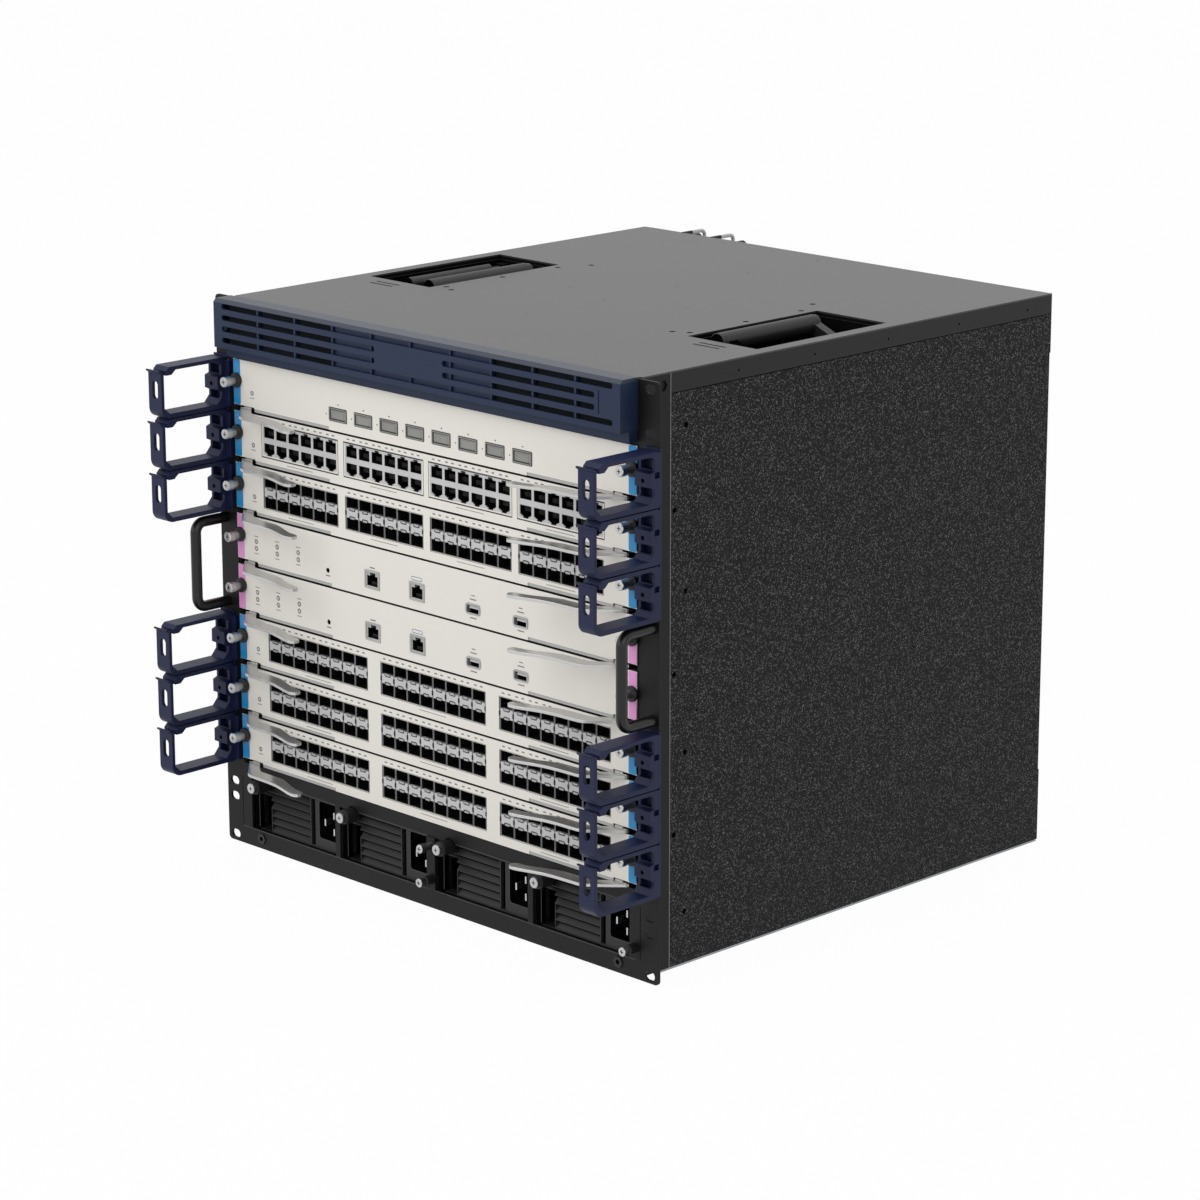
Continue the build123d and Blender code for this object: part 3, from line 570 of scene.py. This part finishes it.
# %% Optical port blocks
COLUMN = 14.45             # from one port column to the next
BLOCKS_OF_6 = (-143.3, -47.3, 47.9, 142.9)     # middles of the blocks with six columns
BLOCKS_OF_8 = (-127.05, 4.4, 135.5)            # middles of the blocks with eight columns


def columns(centres, count):
    """x of every column of every block."""
    steps = (np.arange(count) - (count - 1) / 2) * COLUMN
    return (np.asarray(centres)[:, None] + steps).ravel()


def column_ends(xs):
    """x of every line between two columns, once each, with the blocks' outer ends."""
    return np.unique(np.round(np.concatenate([xs - COLUMN / 2, xs + COLUMN / 2]), 2))


def optical_ports(k, centres, count):
    """Bands, tongues and a thin outline on the cages of one card."""
    z, xs = CARD_Z[k], columns(centres, count)
    face = PLATE_Y + 0.25
    middle_z = z + 20.5
    ends = column_ends(xs)
    band = plate(13.7, 7.3, face, face + 3, grid(xs, 0, [middle_z]), radius=0.3)
    tongues = plate(4.6, 1.5, face - 0.3, face + 2, grid(xs, 0, [middle_z - 3.5, middle_z + 3.5]),
                    radius=0.4)
    # painted shade: black dashes with bent ends outline the tongues, and short dark gaps part the bands
    dashes = plate(5.4, 0.85, face - 0.06, face + 1, grid(xs, 0, [middle_z - 2.4, middle_z + 2.4]),
                   edge=0.01)
    corners = [grid(xs + way * 3.0, 0, [middle_z - 3.0, middle_z + 3.0]) for way in (-1, 1)]
    bends = plate(0.8, 1.2, face - 0.07, face + 1, np.concatenate(corners), edge=0.01)
    gaps = plate(1.3, 3.8, face - 0.45, face + 1, grid(ends[1:-1], 0, [middle_z]), radius=0.6,
                 edge=0.01)
    walls = plate(0.7, 25.2, face - 0.3, face + 3, grid(ends, 0, [z + 20.4]))
    seam = rim(count * COLUMN + 1.2, 26.6, 0.3, PLATE_Y - 0.05, PLATE_Y + 1,
               grid(centres, 0, [z + 20.4]), 0.3)
    return [(band, pale_abs), (tongues, tin), (dashes, slot_shade), (bends, slot_shade), (gaps, slot_shade),
            (walls, cage_wall), (seam, line_grey)]


print("optical blocks are", round(6 * COLUMN, 1), "and", round(8 * COLUMN, 1), "mm wide")


# %% [markdown]
# A modular jack is a rectangular mouth with a stepped notch for the plug's latch. The row below has
# its latch down, the row above has it up. The pale housing fills the corners beside the notch. The
# CAD model's mouths are plain rectangles, so small plates at their corners give them the step.

# %% Jack blocks


def jack_ports(k, centres, count):
    """Corner fillers, contacts and the housing's outline on one card of modular jacks."""
    z, xs = CARD_Z[k], columns(centres, count)
    face = PLATE_Y + 0.3
    parts = []
    low_row, high_row = z + 9.2 + 4.6, z + 23.0 + 4.6
    # each filler: its width and height, then how far it lies beside and over its port's middle
    for row, width, height, shift, rise in (
            (low_row, 3.2, 1.1, 4.4, -4.05), (low_row, 1.4, 0.9, 5.3, -3.05),
            (high_row, 3.2, 0.8, 4.4, 4.25), (high_row, 0.9, 0.8, 2.7, 4.25)):
        corners = np.concatenate([grid(xs + way * shift, 0, [row + rise]) for way in (-1, 1)])
        parts.append((plate(width, height, face, face + 0.8, corners, edge=0.05), pale_abs))
    # painted shade in the latch notches of the mouths
    notches = np.concatenate([grid(xs, 0, [low_row - 4.9]), grid(xs, 0, [high_row + 4.9])])
    parts.append((plate(4.6, 1.3, face - 0.12, face + 0.5, notches, edge=0.02), slot_shade))
    comb = (xs[:, None] + np.linspace(-3.4, 3.4, 6)).ravel()
    pins = np.concatenate([grid(comb, 0, [low_row + 1.5]), grid(comb, 0, [high_row - 1.5])])
    parts.append((plate(0.45, 3.6, PLATE_Y + 3.0, PLATE_Y + 9, pins), contact))
    # the housing between and round the mouths, then its joint with the faceplate
    block = count * COLUMN
    uprights = plate(2.5, 26.4, face - 0.05, face + 2, grid(column_ends(xs), 0, [z + 20.8]))
    bars = plate(block + 2, 4.5, face - 0.06, face + 2, grid(centres, 0, [z + 20.7]))
    edges = plate(block + 2, 1.3, face - 0.06, face + 2, grid(centres, 0, [z + 8.5, z + 33.1]))
    seam = rim(block + 3.2, 27.8, 0.5, PLATE_Y - 0.08, PLATE_Y + 1, grid(centres, 0, [z + 20.8]), 0.3)
    # painted shade: dark lines over and under the block
    shade = plate(block + 2.4, 1.0, PLATE_Y - 0.1, PLATE_Y + 1, grid(centres, 0, [z + 7.4, z + 34.1]))
    return parts + [(uprights, pale_abs), (bars, pale_abs), (edges, pale_abs), (seam, line_grey),
                    (shade, shade_line)]


print("jack columns at", np.round(columns(BLOCKS_OF_6[:1], 6), 1).tolist(), "mm in the first block")


# %% [markdown]
# The top card has eight larger cages. Each is a tin frame a little proud of the paint, closed by a
# sprung flap set back inside it. The flap is bent sheet, so it gets a crease and two side lips.

# %% Large cages
WINDOW_XS = -97.8 + 28.8 * np.arange(8)
WINDOW_RISE = 12.7         # middles of the windows over the card's lower edge


def large_cages(k):
    """Outlines, frames and flaps at the eight windows of the top card."""
    places = grid(WINDOW_XS, 0, [CARD_Z[k] + WINDOW_RISE])
    # painted shade: a dark outline and groove round each window, and its frame drawn darker than tin
    outline = rim(20.8, 11.0, 0.9, PLATE_Y - 0.1, PLATE_Y + 1.5, places, 1.0)
    frame_parts = rim(19.6, 9.8, 0.8, PLATE_Y - 0.6, PLATE_Y + 1.5, places, 0.8)
    groove = rim(18.2, 8.4, 0.7, PLATE_Y - 0.05, PLATE_Y + 1.4, places, 0.4)
    flap = plate(17.4, 7.6, PLATE_Y + 0.1, PLATE_Y + 1.4, places, radius=0.5, edge=0.6)
    crease = plate(12.6, 0.35, PLATE_Y + 0.02, PLATE_Y + 1.0, places + (0, 0, 2.4), radius=0.15)
    slits = np.concatenate([places - (6.6, 0, 0.6), places + (6.6, 0, -0.6)])
    lips = plate(0.4, 5.4, PLATE_Y + 0.02, PLATE_Y + 1.0, slits, radius=0.15)
    return [(outline, shade_line), (frame_parts, shaded_window_frame), (groove, shade_line), (flap, flap_inner),
            (crease, cage_wall), (lips, cage_wall)]


print("windows from x", round(WINDOW_XS[0], 1), "to", round(WINDOW_XS[-1], 1), "mm")

# %% [markdown]
# Small things on the paint: indicator lights are short clear rods in a dark ring, and the marks
# printed beside the ports are plain ticks. Print could be an image, but thin plates stay sharp at
# any distance.

# %% Lights and printed marks


def lights(places, radius=2.0):
    """A dark ring with a pale lens in it."""
    outer, inner = circle(radius, 20), circle(radius * 0.62, 20)
    ring = solid([(outer, PLATE_Y - 0.03), (outer, PLATE_Y + 0.5), (inner, PLATE_Y + 0.5),
                  (inner, PLATE_Y - 0.03)], places, ring=True)
    lens = lathe([(radius * 0.3, PLATE_Y - 0.25), (radius * 0.6, PLATE_Y - 0.1),
                  (radius * 0.62, PLATE_Y + 0.2)], places, 20)
    return [(ring, line_grey), (lens, pale_abs)]


def marks(width, height, places, ink=print_grey):
    """Printed ticks: plates 0.04 mm thick."""
    return [(plate(width, height, PLATE_Y - 0.04, PLATE_Y + 0.1, places, edge=0.01), ink)]


def port_numbers(k, centres, count, height):
    """A pair of ticks over every column, and one short line under each block."""
    z, xs = CARD_Z[k], columns(centres, count)
    return (marks(3.0, 1.1, grid(xs - 3.2, 0, [z + height]))
            + marks(3.0, 1.1, grid(xs + 3.2, 0, [z + height]))
            + marks(30.0, 0.5, grid(np.asarray(centres), 0, [z + 4.6])))


print("a light has", sum(len(faces) for (_, faces), _ in lights([(0, 0, 0)])), "faces")

# %% [markdown]
# The two control cards are alike: six lights in pairs, two modular jacks in pressed shields and two
# narrow ports with a flat tongue inside. They are few, so each is placed by its own x, at the same
# height on both cards.

# %% Ports of a control card
LED_XS = (-197.5, -172.5, -147.5)
RESET_X = -112.8           # the reset hole is in the CAD model; here it gets its mark
JACK_XS = (-61.5, -11.2)
NARROW_XS = (50.2, 101.0)


def control_ports(k):
    """Lights, jacks' shields and contacts, narrow ports and marks on one control card."""
    z = CARD_Z[k]
    parts = lights(grid(LED_XS, 0, [z + 19.9, z + 14.3]))
    parts += marks(5.0, 0.8, grid(LED_XS, 0, [z + 24.0, z + 10.2]), print_pale)
    parts += marks(5.0, 1.0, [(RESET_X, 0, z + 8.0)])
    for x in JACK_XS:
        parts += [(rim(16.6, 14.4, 1.5, PLATE_Y - 0.8, PLATE_Y + 3, [(x, 0, z + 14.2)], 0.6), tin)]
        parts += [(plate(3.4, 2.6, PLATE_Y + 0.2, PLATE_Y + 9, [(x + way * 4.6, 0, z + 18.1)]), tin)
                  for way in (-1, 1)]
        contacts = grid(x + np.linspace(-3.5, 3.5, 8), 0, [z + 10.6])
        parts += [(plate(0.5, 2.6, PLATE_Y + 2.6, PLATE_Y + 9, contacts), contact)]
    pill = rim(12.0, 3.0, 0.45, PLATE_Y - 0.04, PLATE_Y + 0.2, [(-11.5, 0, z + 24.0)], 1.4)
    parts += [(pill, blue_print)] + marks(6.0, 1.0, [(JACK_XS[0], 0, z + 23.4)])
    for x in NARROW_XS:
        parts += [(rim(15.6, 8.4, 1.3, PLATE_Y - 0.7, PLATE_Y + 3, [(x, 0, z + 12.3)], 2.2), tin)]
        parts += [(plate(10.6, 2.0, PLATE_Y + 1.2, PLATE_Y + 10, [(x, 0, z + 13.2)]), pale_abs)]
        parts += marks(7.0, 1.0, grid([x], 0, [z + 19.6, z + 5.4]))
        parts += marks(4.0, 0.8, [(x, 0, z + 22.6)])
    return parts


print("control cards", CONTROL_CARDS, "have", len(JACK_XS) + len(NARROW_XS), "ports each")

# %% [markdown]
# Now every card gets its own mix of ports, as one piece that rides on it. The top card has the large
# windows, the second the jacks, the third four blocks of optical ports, and the lower line cards
# three wider blocks. Each line card also has one status light at its left end.

# %% Ports on every card
STATUS_X = -198.3
for k in CARDS:
    z = CARD_Z[k]
    if k == 1:
        parts = large_cages(k) + marks(1.6, 1.1, grid(WINDOW_XS + 0.5, 0, [z + 20.6]))
        parts += marks(1.2, 1.2, grid(WINDOW_XS - 13.2, 0, [z + 12.2]))
    elif k == 2:
        parts = jack_ports(k, BLOCKS_OF_6, 6) + port_numbers(k, BLOCKS_OF_6, 6, 37.0)
    elif k == 3:
        parts = optical_ports(k, BLOCKS_OF_6, 6) + port_numbers(k, BLOCKS_OF_6, 6, 36.4)
    elif k in CONTROL_CARDS:
        parts = control_ports(k)
    else:
        parts = optical_ports(k, BLOCKS_OF_8, 8) + port_numbers(k, BLOCKS_OF_8, 8, 36.4)
    if k not in CONTROL_CARDS:
        parts += lights([(STATUS_X, 0, z + 14.7)], 1.9)
        parts += marks(5.0, 0.8, [(STATUS_X, 0, z + 10.8)], print_pale)
    piece = make(f"ports_{k}", f"card_{k}", parts)
    print("ports of card", k, "have", len(piece.data.polygons), "faces")

# %% [markdown]
# The supplies' fronts are black mouldings. What catches the eye is bright: the three flat pins of
# the mains inlet and the head of the thumbscrew. Thin grey lines of painted highlight run round each
# inlet and along the frame's rail over and under the supplies, painted shade darkens the hollows of
# each inlet, and the spring latch beside the recess is black. All four supplies are alike, so each
# piece is placed from its own supply's left edge.

# %% Power supply fronts
INLET_SIZE = (20.9, 30.1)  # opening of the mains inlet in the moulded front
INLET_X, INLET_Z = 88.9, 40.1                      # its middle, x from the bay's left edge
PINS = ((83.9, 38.4), (94.3, 45.8), (94.3, 32.4))  # x and z of the three flat pins


def supply_left(k):
    """x of the left edge of a supply's bay, 0.4 mm outside the supply itself."""
    return limits(f"psu_{k}")[0][0] - 0.4


def supply_trim(k):
    """Inlet, pins, latch and thumbscrew on one supply's front."""
    left = supply_left(k)
    inlet = [(left + INLET_X, 0, INLET_Z)]
    pins = plate(1.5, 5.6, SUPPLY_Y + 1.2, SUPPLY_Y + 16, [(left + x, 0, z) for x, z in PINS],
                 radius=0.3)
    # painted shade: dark linings, bands and a ring keep the hollows of the CAD model's inlet from
    # catching light
    inlet_shade_lining = rim(*INLET_SIZE, 3.9, SUPPLY_Y + 1.85, SUPPLY_Y + 2.05, inlet, 0.8)
    cavity = rim(13.0, 20.3, 0.35, SUPPLY_Y + 1.8, SUPPLY_Y + 9.0, inlet, 0.3)
    bands = plate(13.0, 1.3, SUPPLY_Y + 1.85, SUPPLY_Y + 2.05,
                  [(left + INLET_X, 0, 50.8), (left + INLET_X, 0, 29.4)])
    mouth = rim(*INLET_SIZE, 1.9, SUPPLY_Y + 0.3, SUPPLY_Y + 0.5, inlet, 2.4)
    edge = rim(21.8, 31.0, 0.4, SUPPLY_Y - 0.1, SUPPLY_Y + 0.4, inlet, 2.4)
    # the spring latch with a painted highlight along its edge, and the recess beside it
    latch = plate(5.5, 30.2, SUPPLY_Y - 0.32, SUPPLY_Y - 0.15, [(left + 3.65, 0, 31.0)], radius=0.4)
    cheek = plate(0.2, 27.6, SUPPLY_Y - 0.3, SUPPLY_Y + 4.2, [(left + 6.55, 0, 30.4)], edge=0.02)
    recess = plate(19.6, 0.5, SUPPLY_Y + 0.2, SUPPLY_Y + 13.8, [(left + 10.4, 0, 16.2)], edge=0.05)
    spring = plate(0.5, 27.0, SUPPLY_Y - 0.4, SUPPLY_Y - 0.2, [(left + 6.2, 0, 31.0)], radius=0.2)
    knob = thumbscrew([(left + 15.5, SUPPLY_Y, 54.8)], 17.2, head=4.2, collar=5.7, collar_length=13.6)
    return [(pins, nickel), (inlet_shade_lining, black_oxide), (mouth, black_oxide), (cavity, black_oxide),
            (bands, black_oxide), (edge, edge_highlight_line), (latch, black_oxide), (cheek, black_oxide),
            (spring, edge_highlight_line), (recess, black_screw)] + knob


for k in SUPPLIES:
    make(f"supply_trim_{k}", f"psu_{k}", supply_trim(k))
    bay = supply_left(k) + 50.5
    # painted highlight along the top edge of each bay
    top_edge = plate(78.6, 0.4, -0.05, 0.2, [(bay + 11.0, 0, 57.7)], edge=0.02)
    make(f"bay_edge_{k}", "chassis", [(top_edge, edge_highlight_line)])
# painted highlight along the rail's edge under the supplies, and dark joints at the sides of the bays
sill = plate(441.0, 0.5, -0.06, 0.2, [(-2.5, 0, 15.2)], edge=0.02)
seams = plate(0.5, 41.0, -0.05, 0.2, [(-222.8, 0, 36.0), (222.8, 0, 36.0)], edge=0.02)
make("supply_sill", "chassis", [(sill, edge_highlight_line), (seams, black_oxide)])
print("fronts dressed on", len(SUPPLIES), "supplies")

# %% [markdown]
# Where the side panel meets the plain front frame, its cut edge shows as one thin bright line. Small
# flush rivets dot the lid, and round spots and a seam mark the sides. These lie flat on surfaces that
# face up or sideways, so one function turns a front-facing solid to them.

# %% Turning a solid


def turned(part, way, level):
    """Turn a solid that faces the front so it faces up ("Z") or to the right or left ("X", "-X")."""
    points, faces = part
    x, y, z = points.T
    if way == "Z":
        return np.stack([x, z, level - y], 1), faces
    if way == "X":
        return np.stack([level - y, x, z], 1), faces
    return np.stack([-level + y, -x, z], 1), faces


print("1 mm in front becomes z", turned((np.array([[0.0, -1.0, 0.0]]), []), "Z", LID_Z)[0][0][2], "mm")

# %% Side details
SPOT_DEPTHS, SPOT_HEIGHTS = (59.0, 178.5, 297.6), (275.3, 191.6)
side_low, side_high = limits("side_panel_right")
side_x = side_high[0]
depth = side_high[1] - side_low[1]
for name, way in SIDES:
    line = plate(0.25, LID_Z - 2.0, side_low[1] - 0.15, side_low[1] + 0.4,
                 [(way * (side_x - 0.05), 0, LID_Z / 2)], edge=0.05)
    spots = [(way * y, 0, z) for y in SPOT_DEPTHS for z in SPOT_HEIGHTS]
    spots += [(way * (101.0 + 80.7 * j), 0, 435.5) for j in range(5)]
    dots = lathe([(0.9, -0.04), (1.0, 0.3)], spots, 12)
    seam = plate(depth, 0.6, -0.03, 0.2, [(way * (side_low[1] + depth / 2), 0, LID_Z - 15.8)],
                 edge=0.01)
    flat = [(turned(piece, "X" if way > 0 else "-X", side_x), black_oxide) for piece in (dots, seam)]
    make(f"side_details_{name}", "chassis", [(line, bare_edge)] + flat)
print("side details at x", round(float(side_x), 2), "mm over", round(float(depth), 1), "mm of depth")

# %% Lid rivets and lip
lid_dots = [(-6.0, 0, 110.0 + 81.0 * j) for j in range(5)] + [(63.4, 0, 211.4), (-63.4, 0, 211.4)]
rivets = lathe([(1.7, -0.03), (1.8, 0.3)], lid_dots, 12)
make("lid_rivets", "chassis", [(turned(rivets, "Z", LID_Z), black_screw)])
lid_lip = plate(438.0, 2.9, 0.0, 0.5, [(0, 0, 1.7)], edge=0.05)
make("lid_lip", "chassis", [(turned(lid_lip, "Z", LID_Z), lid_coat_painted_reflection)])
print("lid has", len(lid_dots), "rivets")

# %% [markdown]
# A narrow ledge runs round the inside of each handle well, a few millimetres under the lid. A flat
# frame laid at that depth is enough.

# %% Well ledges
for name, way in SIDES:
    ledge = rim(69.4, 140.7, 1.3, 3.6, 4.0, [(way * 174.75, 0, 202.6)], 0.4)
    make(f"well_ledge_{name}", "chassis", [(turned(ledge, "Z", LID_Z), black_coat)])
print("ledges in", len(SIDES), "wells")

# %% [markdown]
# The lifting handles have a moulded sleeve on their bar. Its near end is cut square and carries painted
# shade. The sleeve is round, so it is turned like the thumbscrews, along the bar.

# %% Handle sleeves
GRIP_X, GRIP_Z = 156.3, 439.8
GRIP_LOW, GRIP_HIGH = 146.5, 252.0
GRIP_RADIUS = 7.0
for name, way in SIDES:
    centre = [(way * GRIP_X, 0, GRIP_Z)]
    sleeve = lathe([(6.6, GRIP_LOW), (GRIP_RADIUS, GRIP_LOW + 0.4), (GRIP_RADIUS, GRIP_HIGH - 1.5),
                    (5.8, GRIP_HIGH)], centre, 40)
    # painted shade: a dark ring on the sleeve's near end
    end = lathe([(5.8, GRIP_LOW - 0.1), (6.5, GRIP_LOW), (6.5, GRIP_LOW + 0.2)], centre, 40)
    make(f"handle_sleeve_{name}", f"top_handle_{name}", [(sleeve, grip_rubber), (end, black_oxide)])
print("sleeves", GRIP_HIGH - GRIP_LOW, "mm long and", 2 * GRIP_RADIUS, "mm thick")

# %% [markdown]
# The object stands on a studio floor that looks pure white but still takes a soft shadow. A white
# backdrop would need strong light that washes out the object, so the floor gives out white light of
# its own to the camera and to reflections only, and is pale paint to every other ray.

# %% Floor
FLOOR_HALF = 8.0           # metres from the middle to the floor's edge
FLOOR_GLOW = 0.975         # share of the floor's look that is its own white light


def white_rays(tree):
    """1 on camera, glossy and transmission rays, which see the plain white room, and 0 on others."""
    path = add(tree, "ShaderNodeLightPath")
    seen = add(tree, "ShaderNodeMath", {"operation": "MAXIMUM"}, _0=path.outputs["Is Camera Ray"],
               _1=path.outputs["Is Glossy Ray"])
    clear = add(tree, "ShaderNodeMath", {"operation": "MAXIMUM"}, _0=seen.outputs[0],
                _1=path.outputs["Is Transmission Ray"])
    return clear.outputs[0]


def white_floor():
    """Mostly its own white light to white_rays; other rays meet plain pale paint."""
    made = bpy.data.materials.new("matt_white_floor")
    made.use_nodes = True
    tree = made.node_tree
    tree.nodes.clear()
    matt = add(tree, "ShaderNodeBsdfDiffuse", Color=linear("#e6e6e6"))
    glow = add(tree, "ShaderNodeEmission", Color=(1, 1, 1, 1), Strength=1.0)
    part = add(tree, "ShaderNodeMath", {"operation": "MULTIPLY"}, _0=white_rays(tree), _1=FLOOR_GLOW)
    mix = add(tree, "ShaderNodeMixShader", Fac=part.outputs[0], _1=matt.outputs[0], _2=glow.outputs[0])
    add(tree, "ShaderNodeOutputMaterial", Surface=mix.outputs[0])
    return made


mesh = bpy.data.meshes.new("floor")
mesh.from_pydata([(x * FLOOR_HALF, y * FLOOR_HALF, 0) for x, y in ((-1, -1), (1, -1), (1, 1), (-1, 1))],
                 [], [(0, 1, 2, 3)])
mesh.materials.append(white_floor())
floor = bpy.data.objects.new("floor", mesh)
bpy.context.scene.collection.objects.link(floor)
floor.location.z = -0.0005
print("floor", 2 * FLOOR_HALF, "m wide, at", round(floor.location.z / MM, 2), "mm")

# %% [markdown]
# The photograph was lit softly from all round, with more light from the front left. A white world
# gives the even part, weaker on the object than it looks to the camera. Three large area lamps give
# the rest: a key at the front, a weak fill at the right and one over the lid. Small lamps would draw
# hard shadows that the photograph doesn't show.

# %% World
WORLD_LIGHT = 0.55         # the world's strength on surfaces; the camera and reflections see 1.0
world = bpy.data.worlds.new("white_room")
bpy.context.scene.world = world
world.use_nodes = True
tree = world.node_tree
tree.nodes.clear()
strength = add(tree, "ShaderNodeMapRange", Value=white_rays(tree))
strength.inputs["To Min"].default_value = WORLD_LIGHT
strength.inputs["To Max"].default_value = 1.0
ground = add(tree, "ShaderNodeBackground", Color=(1, 1, 1, 1), Strength=strength.outputs["Result"])
add(tree, "ShaderNodeOutputWorld", Surface=ground.outputs[0])
print("world", world.name, "lights surfaces with", WORLD_LIGHT)

# %% Lamps


def lamp(name, place, aim, size, watts):
    """A square area lamp that looks from place to aim, with sizes in metres.

    Its back points from aim to place, across is square to that and to the vertical."""
    data = bpy.data.lights.new(name, "AREA")
    data.size, data.energy = size, watts
    item = bpy.data.objects.new(name, data)
    bpy.context.scene.collection.objects.link(item)
    item.location = place
    way = np.subtract(aim, place)
    across = np.cross(way, (0, 0, 1.0))
    across /= np.linalg.norm(across)
    back = -way / np.linalg.norm(way)
    up = np.cross(back, across)
    item.matrix_world = Matrix([[across[i], up[i], back[i], place[i]] for i in range(3)] + [[0, 0, 0, 1]])
    return item


lamps = [lamp("key_lamp", (-0.9, -3.3, 2.2), (0, 0, 0.22), 3.0, 59),
         lamp("fill_lamp", (3.2, -1.6, 1.4), (0, 0, 0.22), 1.6, 14),
         lamp("top_lamp", (0.2, 0.6, 3.4), (0, 0, 0.3), 1.8, 26)]
print("lamps", {item.name: item.data.energy for item in lamps}, "watts")

# %% [markdown]
# The camera was fitted to corners, slot centres and edges of the real switch in the photograph, with
# the rack's standard widths as the scale. It is a long lens, 45 degrees round to the right and 15
# degrees up.

# %% Camera
LENS = 119.08              # focal length in mm on a sensor 36 mm wide
CAMERA_PLACE = (2.12400, -2.14913, 1.00472)
CAMERA_AZIMUTH, CAMERA_ELEVATION, CAMERA_ROLL = 45.2893, 14.9025, -0.0916
camera_data = bpy.data.cameras.new("camera")
camera_data.sensor_width, camera_data.lens = 36.0, LENS
camera_data.clip_start, camera_data.clip_end = 0.1, 50.0
camera = bpy.data.objects.new("camera", camera_data)
bpy.context.scene.collection.objects.link(camera)
camera.matrix_world = (Matrix.Translation(CAMERA_PLACE)
                       @ Matrix.Rotation(math.radians(CAMERA_AZIMUTH), 4, "Z")
                       @ Matrix.Rotation(math.radians(90 - CAMERA_ELEVATION), 4, "X")
                       @ Matrix.Rotation(math.radians(CAMERA_ROLL), 4, "Z"))
bpy.context.scene.camera = camera
bpy.context.scene.view_settings.view_transform = "Standard"
print("camera", round(math.dist(CAMERA_PLACE, (0, 0, 0.22)), 2), "m from the middle of the switch")
